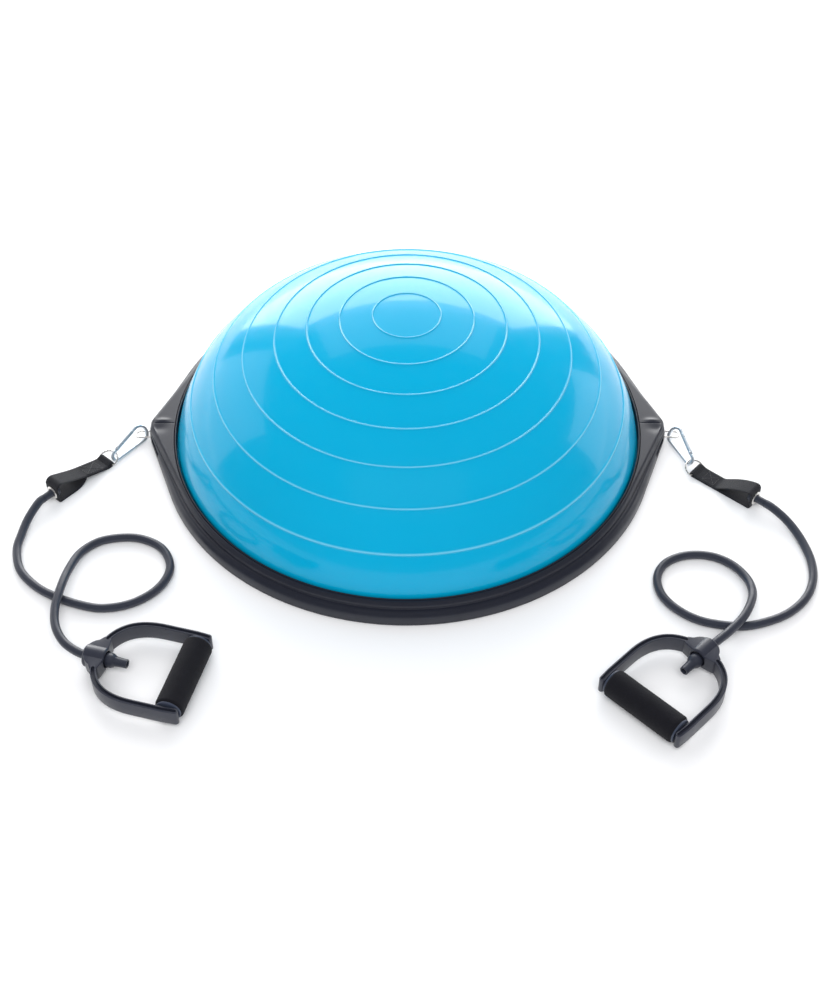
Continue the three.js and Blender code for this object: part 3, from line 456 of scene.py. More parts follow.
def joined(*skins):
    """Separate skins as one."""
    vertices, faces = [], []
    for more_vertices, more_faces in skins:
        start = len(vertices)
        vertices.extend(more_vertices)
        faces.extend(tuple(start + i for i in face) for face in more_faces)
    return vertices, faces


def placed(skin, matrix):
    """A skin moved by a matrix whose shift is in metres."""
    vertices, faces = skin
    return [(matrix @ (Vector(v) * MM)) / MM for v in vertices], faces


def carve(obj, operation, skin, sharp=38):
    """Joins a skin to obj, or cuts it from obj; the skin is in obj's own frame."""
    tool = piece(obj.name + "_tool", skin, obj.matrix_world.copy())
    modifier = obj.modifiers.new("carve", "BOOLEAN")
    modifier.operation = operation
    modifier.solver = "EXACT"
    modifier.use_self = False
    modifier.object = tool
    bpy.context.view_layer.update()
    seen = obj.evaluated_get(bpy.context.evaluated_depsgraph_get())
    cut = bpy.data.meshes.new_from_object(seen)
    obj.modifiers.remove(modifier)
    obj.data = cut
    cut.materials.clear()
    bpy.data.objects.remove(tool)
    smooth(obj, sharp)


# ---- materials


class Finish:
    """A procedural material: a Principled shader with noise in its colour, roughness and relief."""

    def __init__(self, name, colour, roughness, metallic=0.0, **more):
        self.material = bpy.data.materials.new(name)
        self.material.use_nodes = True
        self.tree = self.material.node_tree
        self.shader = self.tree.nodes["Principled BSDF"]
        self.shader.inputs["Base Color"].default_value = (*colour, 1)
        self.shader.inputs["Roughness"].default_value = roughness
        self.shader.inputs["Metallic"].default_value = metallic
        for key, value in more.items():
            self.shader.inputs[key.replace("_", " ")].default_value = value
        self.place = self.node("ShaderNodeTexCoord").outputs["Object"]

    def node(self, kind, **inputs):
        node = self.tree.nodes.new(kind)
        for key, value in inputs.items():
            self.put(node.inputs[key.replace("_", " ")], value)
        return node

    def put(self, socket, value):
        if isinstance(value, bpy.types.NodeSocket):
            self.tree.links.new(value, socket)
        else:
            socket.default_value = value

    def stretched(self, scale):
        """The object's own coordinates, scaled by (x, y, z)."""
        return self.node("ShaderNodeMapping", Vector=self.place, Scale=scale).outputs["Vector"]

    def noise(self, scale, detail=3.0, place=None):
        node = self.node("ShaderNodeTexNoise", Scale=scale, Detail=detail, Roughness=0.55)
        self.put(node.inputs["Vector"], place or self.place)
        return node.outputs["Fac"]

    def span(self, value, low, high, start=0.3, end=0.7):
        """value from start..end as low..high."""
        node = self.node("ShaderNodeMapRange", Value=value)
        node.clamp = True
        limits = {"From Min": start, "From Max": end, "To Min": low, "To Max": high}
        for key, number in limits.items():
            node.inputs[key].default_value = number
        return node.outputs["Result"]

    def mixed(self, share, first, second):
        node = self.node("ShaderNodeMix")
        node.data_type = "RGBA"
        self.put(node.inputs["Factor"], share)
        for socket, colour in zip(node.inputs[6:8], (first, second)):
            self.put(socket, colour if isinstance(colour, bpy.types.NodeSocket) else (*colour, 1))
        return node.outputs[2]

    def tint(self, share, towards):
        """Mixes the colour so far towards another by share."""
        socket = self.shader.inputs["Base Color"]
        now = socket.links[0].from_socket if socket.links else tuple(socket.default_value)[:3]
        self.put(socket, self.mixed(share, now, towards))
        return self

    def rough(self, value):
        self.put(self.shader.inputs["Roughness"], value)
        return self

    def relief(self, height, distance, strength=1.0):
        """Bump of so many metres from a 0..1 height, on top of what is there."""
        socket = self.shader.inputs["Normal"]
        node = self.node("ShaderNodeBump", Height=height, Distance=distance, Strength=strength)
        if socket.links:
            self.tree.links.new(socket.links[0].from_socket, node.inputs["Normal"])
        self.tree.links.new(node.outputs["Normal"], socket)
        return self


def shade(colour, factor):
    return tuple(min(1.0, c * factor) for c in colour)


def dome_finish():
    blue = (0.0, 0.378, 0.635)
    finish = Finish("dome_skin", blue, 0.2, Coat_Weight=0.3, Coat_Roughness=0.06)
    for key, value in (
        ("IOR", 1.4),
        ("Specular IOR Level", 0.22),
        ("Subsurface Weight", 0.12),
        ("Subsurface Scale", 0.004),
        ("Subsurface Radius", (0.2, 0.6, 1.0)),
    ):
        finish.shader.inputs[key].default_value = value
    clouds = finish.noise(5, 2)
    finish.tint(finish.span(clouds, 0.0, 0.25), shade(blue, 0.88))
    # Painted highlight: the rib tops are tinted a paler cyan, standing in for the light the ribs
    # catch.
    rib = finish.node("ShaderNodeAttribute")
    rib.attribute_name = "rib"
    finish.tint(finish.span(rib.outputs["Fac"], 0.0, 0.45, 0.35, 1.0), (0.3, 0.72, 0.88))
    finish.rough(finish.span(finish.noise(60, 4), 0.17, 0.26))
    finish.relief(finish.noise(9, 2), 0.0006, 0.25)
    finish.relief(finish.noise(900, 2), 0.00002, 0.35)
    return finish.material


def moulded(name, colour, roughness, grain=1400, depth=0.00004):
    """Moulded plastic: a fine even grain, a little mottling and lighter rubbed spots."""
    finish = Finish(name, colour, roughness)
    finish.tint(finish.span(finish.noise(22, 4), 0.0, 0.5), shade(colour, 1.22))
    finish.tint(finish.span(finish.noise(260, 3), 0.0, 0.3), shade(colour, 0.8))
    finish.rough(finish.span(finish.noise(45, 4), roughness - 0.06, roughness + 0.09))
    finish.relief(finish.noise(grain, 3), depth, 0.7)
    return finish.material


def rubber(name, colour, roughness):
    """Extruded or moulded rubber: fine specks and faint long streaks."""
    finish = Finish(name, colour, roughness)
    finish.tint(finish.span(finish.noise(70, 5), 0.0, 0.4), shade(colour, 1.3))
    finish.tint(finish.span(finish.noise(1500, 2), 0.0, 0.35), shade(colour, 0.7))
    finish.rough(finish.span(finish.noise(120, 4), roughness - 0.07, roughness + 0.1))
    finish.relief(finish.noise(2200, 3), 0.00003, 0.7)
    return finish.material


def plated(name, colour, roughness):
    """Plated wire: fine drawn lines, small pits and dull spots."""
    finish = Finish(name, colour, roughness, 0.8)
    finish.tint(finish.span(finish.noise(180, 4), 0.0, 0.3), shade(colour, 0.8))
    finish.rough(finish.span(finish.noise(420, 4), roughness - 0.06, roughness + 0.14))
    finish.relief(finish.noise(1600, 3, place=finish.stretched((0.25, 1, 1))), 0.00003, 0.5)
    return finish.material


def webbing_finish():
    """Woven polypropylene: warp yarns and a little fuzz; its cross ribs are in the mesh."""
    black = (0.0075, 0.0078, 0.011)
    finish = Finish("webbing", black, 0.85, Sheen_Weight=0.08, Sheen_Roughness=0.45)
    warp = finish.node("ShaderNodeTexWave", Vector=finish.place, Scale=330, Distortion=1.2)
    warp.inputs["Detail"].default_value = 2
    warp.inputs["Detail Scale"].default_value = 2
    warp.bands_direction = "Y"
    yarn = warp.outputs["Fac"]
    finish.tint(finish.span(yarn, 0.0, 0.55), shade(black, 2.3))
    finish.tint(finish.span(finish.noise(700, 4), 0.0, 0.5), shade(black, 1.9))
    finish.tint(finish.span(finish.noise(35, 3), 0.0, 0.35), shade(black, 0.6))
    finish.relief(yarn, 0.0002, 0.8)
    finish.relief(finish.noise(2600, 3), 0.00012, 0.7)
    return finish.material


def thread_finish():
    dark = (0.02, 0.02, 0.024)
    finish = Finish("stitching", dark, 0.6, Sheen_Weight=0.3)
    finish.tint(finish.span(finish.noise(2400, 3), 0.0, 0.6), shade(dark, 2.2))
    finish.relief(finish.noise(3000, 2), 0.0001, 0.8)
    return finish.material


def foam_finish():
    """Closed-cell foam: dense small pores and a faint rubbed sheen."""
    black = (0.0042, 0.0042, 0.0062)
    finish = Finish("foam", black, 0.95, Sheen_Weight=0.04, Sheen_Roughness=0.6)
    finish.shader.inputs["Specular IOR Level"].default_value = 0.25
    cells = finish.node("ShaderNodeTexVoronoi", Vector=finish.place, Scale=1500)
    finish.tint(finish.span(finish.noise(90, 4), 0.0, 0.5), shade(black, 1.9))
    finish.tint(finish.span(finish.noise(1900, 3), 0.0, 0.5), shade(black, 2.6))
    finish.relief(cells.outputs["Distance"], 0.00022, 0.8)
    finish.relief(finish.noise(420, 4), 0.0003, 0.6)
    return finish.material


SLATE = (0.0125, 0.0145, 0.0245)
LOOKS = {
    "dome_skin": dome_finish(),
    "platform_plastic": moulded("platform_plastic", SLATE, 0.36),
    "foot_rubber": rubber("foot_rubber", (0.012, 0.012, 0.014), 0.8),
    "screw_steel": plated("screw_steel", (0.36, 0.37, 0.38), 0.34),
    "valve_plastic": moulded("valve_plastic", (0.62, 0.63, 0.64), 0.42),
    "nickel": plated("nickel", (0.82, 0.8, 0.77), 0.24),
    "zinc": plated("zinc", (0.76, 0.83, 0.9), 0.3),
    "webbing": webbing_finish(),
    "tube_rubber": rubber("tube_rubber", (0.029, 0.033, 0.049), 0.38),
    "handle_plastic": moulded("handle_plastic", (0.027, 0.03, 0.045), 0.33),
    "core_plastic": moulded("core_plastic", (0.04, 0.05, 0.08), 0.4),
    "foam": foam_finish(),
}
THREAD = thread_finish()


def dress(obj, body, slot, *nodes, look=None):
    """Gives a piece its look, the slot's unless another is given, and its body, and hides the CAD
    nodes it stands for.
    """
    obj.data.materials.clear()
    obj.data.materials.append(look or LOOKS[slot])
    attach(obj, body)
    if nodes:
        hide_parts(*nodes)
    return obj


# ---- tubes, swept as rods along set lines


def tube_line(side):
    """The tube's middle line in metres: out of the plug, over the floor, through the hub."""
    out = strap_frame(side) @ move(STRAP_LENGTH + TUBE_OFFSET, 0, side["strap"]["eyelet"])
    through = handle_frame(side)
    points = [out.translation, (out @ move(5, 0, 0)).translation, *side["route"]]
    stops = (-HUB_HALF - 4, -HUB_HALF + 4, TUBE_STOP)
    points += [(through @ move(x, 0, 0)).translation for x in stops]
    return flowing(points, 2.5 * MM)


def make_tube(name, side):
    line = tube_line(side)
    tube = piece(f"{name}_elastic_tube", rod([p / MM for p in line], TUBE_DIAMETER / 2, 24))
    dress(tube, f"{name}_strap", "tube_rubber", f"{name}_tube")
    return tube, line


def plug_outline():
    """(radius, height) of the stopper in the strap and its neck, about the eyelet's axis."""
    seat = -WEB - GAP - 0.9 - GAP
    return [
        (0, seat - 4.5),
        *soften([(0.1, seat - 4.5), (5, seat - 4.5), (7, seat - 2.5), (7, seat), (4.4, seat)], 0.5),
        (4.4, 0),
        (4.4, 8),
        *soften([(4.4, 10), (4.4, TUBE_OFFSET - GAP), (0.1, TUBE_OFFSET - GAP)], 0.4),
        (0, TUBE_OFFSET - GAP),
    ]


def tube_end_outline():
    """(radius, height) of the bulged end in the hub's mouth, hollow round the stopper ball."""
    neck, tail, bore = 4.75, 4.9, 3.2
    start, taper_end, tip = TUBE_STOP + GAP, 27, 35

    def sphere(radius, near, last, steps):
        swept = arc(BULGE_MIDDLE, 0, radius, math.pi - math.asin(near / radius), last, steps)
        return [(r, z) for z, r in swept]

    bulge = sphere(8, neck, QUARTER / 2, 22)
    taper = soften([bulge[-1], (tail, taper_end), (tail, tip)], 5, steps=8)[1:-1]
    lip = soften([(tail, tip - 2), (tail, tip), (bore, tip), (bore, tip - 2)], 0.6)[1:-1]
    cavity = sphere(6.6, bore, math.asin(bore / 6.6), 16)[::-1]
    return [(bore, start), (neck, start), *bulge, *taper, *lip, *cavity]


for name, side in SIDES.items():
    tube, line = make_tube(name, side)
    plug = piece(f"{name}_tube_plug_moulded", lathe(plug_outline(), 48), eyelet_frame(side))
    dress(plug, f"{name}_strap", "tube_rubber", f"{name}_tube_plug")
    bulge = lathe(tube_end_outline(), 48, wrap=True)
    end = piece(f"{name}_tube_bulged_end", bulge, hub_frame(side))
    dress(end, f"{name}_strap", "tube_rubber", f"{name}_tube_end")

# ---- platform


def around(count, radius):
    """Places on a circle about Z, evenly spread and starting half a step round."""
    angles = [TAU * (i + 0.5) / count for i in range(count)]
    return [(radius * math.cos(a), radius * math.sin(a)) for a in angles]


SCREWS, FEET = around(8, SCREW_CIRCLE), around(8, FOOT_CIRCLE)

# The rim's section: (radius, height, how far a lug's tip reaches at that height).
RIM_EDGE = [
    (290, 1.2, 306), (289.9, 6, 306), (289.6, 9, 306),
    (288.9, 11.6, 305.8), (287.5, 14, 305.6), (284.8, 16.3, 305.2),
    (282.6, 16.8, 305), (281.5, 16.7, 304.9), (280.9, 17.7, 304.8),
    (280.8, 19.8, 304.6), (280.3, 21.3, 303.9), (279.2, 22.7, 303),
    (277.4, 23.8, 301.9), (275.6, 24.2, 300),
]


def rim_rows():
    """Closed level rows round the rim, from the outer bottom edge over the top and down inside."""
    angles = rim_angles()
    rows = []

    def lug_radius(angle, radius, tip):
        """The outline's radius: a circle with a blunt wedge whose sides are tangents."""
        away = abs(math.atan2(math.sin(angle), math.cos(angle)))
        away = min(away, math.pi - away)
        reach = math.hypot(tip, LUG_HALF)
        tangent = math.atan2(LUG_HALF, tip) + math.acos(radius / reach)
        if away > tangent:
            return radius
        flank = radius / math.cos(away - tangent)
        end = tip / math.cos(away)
        corner = 1.2
        blend = max(0.0, corner - abs(flank - end)) ** 2 / (4 * corner)
        return min(flank, end) - blend

    def row(radius, height, tip):
        return [
            (r * math.cos(a), r * math.sin(a), height)
            for a, r in ((a, lug_radius(a, radius, tip) if tip else radius) for a in angles)
        ]

    edge = [(r, z, tip) for r, z, tip in soften(RIM_EDGE, 0.7, steps=2)]
    rows.extend(row(*level) for level in edge)
    last_radius, last_height, last_tip = edge[-1]
    wall = SEAM_RADIUS + 1.5
    crease = [(275.4, 24.2), (274.9, 22.3), (274.1, 24.7)]
    lip = soften([*crease, (273.2, 25), (wall, 24.4), (wall, 20)], 0.4)
    groove = lip[0]
    steps = 14
    outer = row(last_radius, last_height, last_tip)
    inner = row(groove[0], groove[1], None)
    for k in range(1, steps):
        share = k / steps
        between = []
        for a, b in zip(outer, inner):
            x, y, z = (p + (q - p) * share for p, q in zip(a, b))
            between.append((x, y, z + lug_relief(x, y)))
        rows.append(between)
    rows.extend(row(r, z, None) for r, z in lip)
    inside = [(wall, 12.3), (278.2, 12.3), (278.2, 6.6), (285.6, 6.6), (285.6, 1.2)]
    rows.extend(row(r, z, None) for r, z in inside)
    return rows


def rim_angles():
    """Angles round the rim, close together at the lugs and closest at their middles."""
    quarter = [0.0]
    step = 0.0006
    while quarter[-1] < QUARTER:
        quarter.append(quarter[-1] + step)
        step = min(step * 1.16, math.radians(1.1))
    quarter = [a * QUARTER / quarter[-1] for a in quarter]
    half = quarter + [math.pi - a for a in reversed(quarter[:-1])]
    return half + [math.pi + a for a in half[1:-1]]


def lug_relief(x, y):
    """A lug's top: dished in front of the parting line, pinched behind it, and grooved on it."""
    out = max(0.0, min(1.0, (abs(x) - 275) / 8)) * max(0.0, min(1.0, (304 - abs(x)) / 6))
    line = -0.55 * math.exp(-((y / 0.45) ** 2)) * min(1.0, max(0.0, (abs(x) - 274) / 2))
    pinch = 1.0 * math.exp(-(((y - 4.5) / 3.2) ** 2)) * math.exp(-(((abs(x) - 290) / 8) ** 2))
    dish = -1.1 * math.exp(-(((y + 9) / 6.5) ** 2)) * math.exp(-(((abs(x) - 294) / 9) ** 2))
    return line + (pinch + dish) * out


def rim_cutters():
    """Screw bores, and in each lug two finger recesses, two loop slots and the tongue's seat."""
    bore = pin(SCREW_BORE, PLATE_TOP - 1, RIM_BORE_TOP, 20)
    cutters = [placed(bore, move(x, y, 0)) for x, y in SCREWS]
    recess = block((-11, 8), (-16, 16), (7.2, 14), 4, 1, (1, 0, 1, 1), edge_steps=3)
    slot = block((298, 312), (-1.4, 1.4), (4, RIM_BORE_TOP), 0.4, 0.3, corner_steps=2)
    pocket = block((291, 300), (-8, 8), (-1, 10.6), 1, 0.3)
    seat = block((265, 301.3), (-8.8, 8.8), (-1, 4.9), 0.5, 0.3)
    for flip in (turn(0, "Z"), turn(180, "Z")):
        for half in (1, -1):
            lean = Matrix.Rotation(half * 0.345, 4, "Z")
            cutters.append(placed(recess, flip @ move(LUG_TIP - 8, half * 28, 0) @ lean))
            cutters.append(placed(slot, flip @ move(0, half * LOOP_HALF, 0)))
        cutters += [placed(pocket, flip), placed(seat, flip)]
    return cutters


def make_rim():
    rim = piece("rim_ring_moulded", rows_skin(rim_rows(), wrap=True), sharp=34)
    for cutter in rim_cutters():
        carve(rim, "DIFFERENCE", cutter, sharp=34)
    return dress(rim, "platform", "platform_plastic", "rim_ring")


def make_base():
    """The plate, with a tongue under each lug, foot sockets, screw holes and the valve's well."""
    edge = soften([(284, 2), (285.3, 2), (285.3, PLATE_TOP), (284, PLATE_TOP)], 0.5)
    plate = lathe([(0, 2), *edge, (0, PLATE_TOP)], 192)
    base = piece("base_plate_moulded", plate, sharp=30)
    tongue = block((270, 301), (-8.5, 8.5), (2, 4.6), 1, 0.3, (0, 1, 1, 1), edge_steps=3)
    for degrees in (0, 180):
        carve(base, "UNION", placed(tongue, turn(degrees, "Z")))
    seat = [(0, 0), (3.5, 0), (3.5, 4.6), (SCREW_BORE, 4.6), (SCREW_BORE, 8), (0, 8)]
    cutters = [pin(CENTRE_FOOT_RADIUS + 0.6, 0, 3.5, 96)]
    cutters += [placed(pin(FOOT_RADIUS + 0.6, 0, 3.5, 48), move(x, y, 0)) for x, y in FEET]
    cutters += [placed(lathe(seat, 32), move(x, y, 0)) for x, y in SCREWS]
    cutters.append(placed(pin(VALVE_WELL, 0, 8, 64), move(*VALVE, 0)))
    carve(base, "DIFFERENCE", joined(*cutters), sharp=30)
    return dress(base, "platform", "platform_plastic", "base_platform")


def foot_outline(radius):
    """A rubber foot with a rounded edge and two shallow tread grooves below."""
    bottom = [(0, 0)]
    for r in (radius * 0.45, radius * 0.72):
        bottom += [(r - 0.9, 0), (r - 0.5, 0.5), (r + 0.5, 0.5), (r + 0.9, 0)]
    edge = [(radius - 2.4, 0), (radius - 0.9, 0.35), (radius, 1.4), (radius, FOOT_HEIGHT)]
    return [*bottom, *soften(edge, 0.6), (0, FOOT_HEIGHT)]


def make_foot(name, node, radius, centre):
    foot = piece(name, lathe(foot_outline(radius), 72), move(*centre, 0))
    dress(foot, "platform", "foot_rubber", node)


def make_screw(number, centre):
    """A pan head with a cross recess, below, and its plain stem."""
    head = soften([(0.2, 2.2), (2.6, 2.2), (3.2, 2.9), (3.2, 4.3), (1.6, 4.3), (1.6, 6)], 0.3)
    stem = [(1.6, 13.2), (0.6, 14.4), (0, 14.5)]
    screw = piece(f"screw_{number}_steel", lathe([(0, 2.2), *head, *stem], 40), move(*centre, 0))
    bar = block((-1.9, 1.9), (-0.45, 0.45), (1, 3.3), 0.2, 0.1, (1, 1, 0, 0), corner_steps=2)
    for angle in (0, 90):
        carve(screw, "DIFFERENCE", placed(bar, turn(angle, "Z")))
    dress(screw, "platform", "screw_steel", f"screw_{number}")


make_rim()
make_base()
make_foot("centre_foot_rubber", "centre_foot", CENTRE_FOOT_RADIUS, (0, 0))
for i, place in enumerate(FEET, start=1):
    make_foot(f"foot_{i}_rubber", f"foot_{i}", FOOT_RADIUS, place)
for i, place in enumerate(SCREWS, start=1):
    make_screw(i, place)

# ---- dome and valve


def dome_point(radius, lift):
    """The dome's surface over a radius, raised by lift along its normal: (radius, height)."""
    crown_edge = CROWN_RADIUS * math.sin(CROWN_ANGLE)
    crown_middle = (0, DOME_TOP - CROWN_RADIUS)
    step = CROWN_RADIUS - SHOULDER_RADIUS
    shoulder_middle = (step * math.sin(CROWN_ANGLE), crown_middle[1] + step * math.cos(CROWN_ANGLE))
    crown = radius <= crown_edge
    middle, reach = (crown_middle, CROWN_RADIUS) if crown else (shoulder_middle, SHOULDER_RADIUS)
    angle = math.asin((radius - middle[0]) / reach)
    reach += lift
    return middle[0] + reach * math.sin(angle), middle[1] + reach * math.cos(angle)


def rib_lift(radius):
    """A low rounded rib at each rib circle."""
    away = min(abs(radius - rib) for rib in RIB_RADII)
    return RIB_HEIGHT * math.cos(QUARTER * away / RIB_HALF) ** 2 if away < RIB_HALF else 0.0


def dome_radii():
    """Radii from the crown to the seam, close together over each rib."""
    radii, radius = [], 0.0
    while radius < SEAM_RADIUS - 2:
        radii.append(radius)
        near = min(abs(radius - rib) for rib in RIB_RADII)
        radius += 0.28 if near < 1.8 else min(5.0, near - 1.7)
    return radii


def mark_rib_highlights(dome, lifts, sides):
    """Notes how far up a rib each point is, for the painted highlight that makes the rib tops
    paler; the crown is one point.
    """
    marks = dome.data.attributes.new("rib", "FLOAT", "POINT").data
    for row, lift in enumerate(lifts[1:]):
        for i in range(1 + row * sides, 1 + (row + 1) * sides):
            marks[i].value = lift / RIB_HEIGHT


def make_dome():
    lifts = [rib_lift(r) for r in dome_radii()]
    outer = [dome_point(r, lift) for r, lift in zip(dome_radii(), lifts)]
    wall = SEAM_RADIUS - 0.5
    foot = [dome_point(wall - 1, 0), (wall, 22), (wall, FLANGE_TOP), (FLANGE_RADIUS, FLANGE_TOP)]
    foot = soften(foot, 1)
    low, high, mid = PLATE_TOP + GAP, PLATE_TOP + GAP + DOME_WALL, 150
    flange = [(FLANGE_RADIUS, FLANGE_TOP), (FLANGE_RADIUS, low), (mid, low)]
    inner = [dome_point(r, -DOME_WALL) for r in range(0, 262, 12)]
    inside = [(267.4, high), (mid, high)]
    sides = 256
    rows = [ring_of(r, z, sides) for r, z in [*outer, *foot[1:-1], *flange]]
    rows += [ring_of(VALVE_HOLE, z, sides, VALVE) for z in (low, high)]
    rows += [ring_of(r, z, sides) for r, z in [*reversed(inside), *reversed(inner)]]
    dome = piece("dome_ribbed_skin", rows_skin(rows))
    mark_rib_highlights(dome, lifts, sides)
    dress(dome, "platform", "dome_skin", "dome")


def make_valve():
    """A seat clamped through the dome's bottom wall, and a plug that pulls out of it downwards."""
    below = [(4.6, 4.3), (12, 4.3), (12, 6.3), (8, 6.3)]
    above = [(8, 10.4), (12, 10.4), (12, 12.4), (4.6, 12.4)]
    seat = lathe(soften([*below, *above], 0.35, closed=True), 64, wrap=True)
    ring = piece("valve_seat_moulded", seat, move(*VALVE, 0))
    dress(ring, "platform", "valve_plastic", "valve_seat")
    cap = [(0.2, 2.4), (8.2, 2.4), (9, 3.1), (9, 4), (4.3, 4), (4.0, 11.6), (0.2, 11.6)]
    skin = lathe([(0, 2.4), *soften(cap, 0.3), (0, 11.6)], 64)
    plug = piece("valve_plug_moulded", skin, move(*VALVE, 0))
    grip = block((-5, 5), (-1, 1), (1.5, 3.1), 0.6, 0.2, (1, 1, 0, 0), corner_steps=3)
    carve(plug, "DIFFERENCE", grip)
    dress(plug, "valve_plug", "valve_plastic", "valve_plug")


make_dome()
make_valve()

# ---- anchor loop and snap hook

HOOK_TANGENT = math.acos((HOOK_WIDE - HOOK_NARROW) / HOOK_CENTRES)
GATE_SLOPE = HOOK_TANGENT - QUARTER
GATE_SIDE = HOOK_CENTRES * math.sin(HOOK_TANGENT)
GATE_PIVOT, GATE_NOSE = 0.84 * GATE_SIDE, 0.12 * GATE_SIDE


def along_gate(distance):
    return (
        HOOK_WIDE * math.cos(HOOK_TANGENT) + distance * math.cos(GATE_SLOPE),
        HOOK_WIDE * math.sin(HOOK_TANGENT) + distance * math.sin(GATE_SLOPE),
    )


def on_gate(skin):
    """From the gate's own frame, its pivot at the origin, into the hook's."""
    return placed(skin, move(*along_gate(GATE_PIVOT), 0) @ Matrix.Rotation(GATE_SLOPE, 4, "Z"))


def make_loop(name, side):
    half, inner, outer = LOOP_HALF, 2, 4
    line = [
        *arc(LOOP_REACH - outer, half - outer, outer, 0, QUARTER, 12),
        *arc(inner, half - inner, inner, QUARTER, 2 * QUARTER, 8),
        *arc(inner, inner - half, inner, 2 * QUARTER, 3 * QUARTER, 8),
        *arc(LOOP_REACH - outer, outer - half, outer, 3 * QUARTER, 4 * QUARTER, 12)[:-1],
    ]
    wire = rod(resample(line, 0.7, True), THIN_WIRE / 2, 20, wrap=True)
    loop = piece(f"{name}_anchor_loop_wire", wire, loop_frame(side))
    dress(loop, f"{name}_loop", "nickel", f"{name}_anchor_loop")


def make_hook(name, side):
    at = hook_frame(side)
    line = [
        along_gate(GATE_NOSE - 0.4),
        *arc(0, 0, HOOK_WIDE, HOOK_TANGENT, 4 * QUARTER - HOOK_TANGENT, 40),
        *arc(HOOK_CENTRES, 0, HOOK_NARROW, -HOOK_TANGENT, HOOK_TANGENT, 28),
        along_gate(GATE_PIVOT + 3),
    ]
    wire = rod(resample(line, 0.6), HOOK_WIRE / 2, 24, rounding=0.6)
    body = piece(f"{name}_hook_wire", wire, at)
    thick, eased = (-0.65, 0.65), (1, 0, 1, 1)
    tang = block((-1.6, 5), (-1.5, 1.5), thick, 1.3, 0.15, eased, corner_steps=8, edge_steps=3)
    carve(body, "UNION", on_gate(tang))
    hole = pin(1.05, -4, 4, 32)
    carve(body, "DIFFERENCE", on_gate(hole))
    dress(body, f"{name}_hook", "zinc", f"{name}_hook_body")

    gate_line = resample([(GATE_NOSE - GATE_PIVOT, 0), (1.6, 0)], 1)
    gate_skin = on_gate(rod(gate_line, GATE_ROD / 2, 28, rounding=0.7))
    gate = piece(f"{name}_hook_gate_rod", gate_skin, at)
    slot = block((-2.2, 4), (-4, 4), (-0.95, 0.95), 0.3, 0.1, corner_steps=2)
    carve(gate, "DIFFERENCE", on_gate(slot))
    carve(gate, "DIFFERENCE", on_gate(hole))
    dress(gate, f"{name}_gate", "zinc", f"{name}_hook_gate")

    half = soften([(0.2, 3.1), (0.9, 3.1), (1.3, 2.85), (1.3, 2.6), (0.75, 2.6), (0.75, 0)], 0.15)
    outline = [(0, 3.1), *half[:-1], *[(r, -z) for r, z in reversed(half[:-1])], (0, -3.1)]
    rivet = piece(f"{name}_hook_rivet_pin", on_gate(lathe(outline, 28)), at)
    dress(rivet, f"{name}_hook", "zinc", f"{name}_hook_rivet")


def make_ring(name, side):
    corner, half = 1.5, RING_HALF
    line = [
        *arc(-corner, corner - half, corner, -QUARTER, 0, 8),
        *arc(-corner, half - corner, corner, 0, QUARTER, 8),
        *arc(-2, 0, half, QUARTER, 3 * QUARTER, 40),
    ]
    wire = rod(resample(line, 0.7, True), THIN_WIRE / 2, 20, wrap=True)
    ring = piece(f"{name}_strap_ring_wire", wire, ring_frame(side))
    dress(ring, f"{name}_ring", "nickel", f"{name}_strap_ring")


# ---- strap, its stitches and eyelet


def underside(web, along):
    """The height of the sewn part's underside, which rises from the ring to the seam's end."""
    return STRAP_BASE + web["lift"] * max(0, along - SEAM_START) / (web["seam"] - SEAM_START)


def web_line(side):
    """The middle line of the webbing, (along, up): round the bar, out, back over, and sewn down."""
    web = side["strap"]
    middle, lift = WEB / 2, web["lift"]
    floor = STRAP_BASE + middle
    split = web["seam"] + WEB
    low = underside(web, web["seam"]) + middle
    rise = math.atan2(lift, web["seam"] - SEAM_START)

    def upper(along):
        return underside(web, along) + 2 * WEB - middle + 0.04

    drop = []
    if lift:
        start = (split, low)
        handles = (split + 3, low - lift / 2), (split + 9, floor)
        drop = [start, *bezier(start, *handles, (split + 18, floor), 16)]
    corner, turned = web["corner"], math.radians(web["top_turn"])
    top = arc(STRAP_LENGTH - corner, web["height"] - corner, corner - middle, 0, turned, 16)
    bottom = arc(
        STRAP_LENGTH - BOTTOM_CORNER,
        STRAP_BASE + BOTTOM_CORNER,
        BOTTOM_CORNER - middle,
        -QUARTER,
        0,
        10,
    )
    slope = turned - QUARTER
    leave, high = top[-1], upper(web["seam"])

    def ahead(start, angle, distance):
        return start[0] + distance * math.cos(angle), start[1] + distance * math.sin(angle)

    away = ahead(leave, slope, -web["leave"])
    step = ahead((split, high), rise, web["step"])
    return [
        *arc(0, RING_BAR_HEIGHT, RING_BAR_HEIGHT - floor, math.radians(75), 3 * QUARTER, 22),
        (SEAM_START, floor),
        *drop,
        *bottom,
        *top,
        *bezier(leave, away, step, (split, high), 40),
        (12, upper(12)),
        (6, upper(6) + 0.5),
    ]


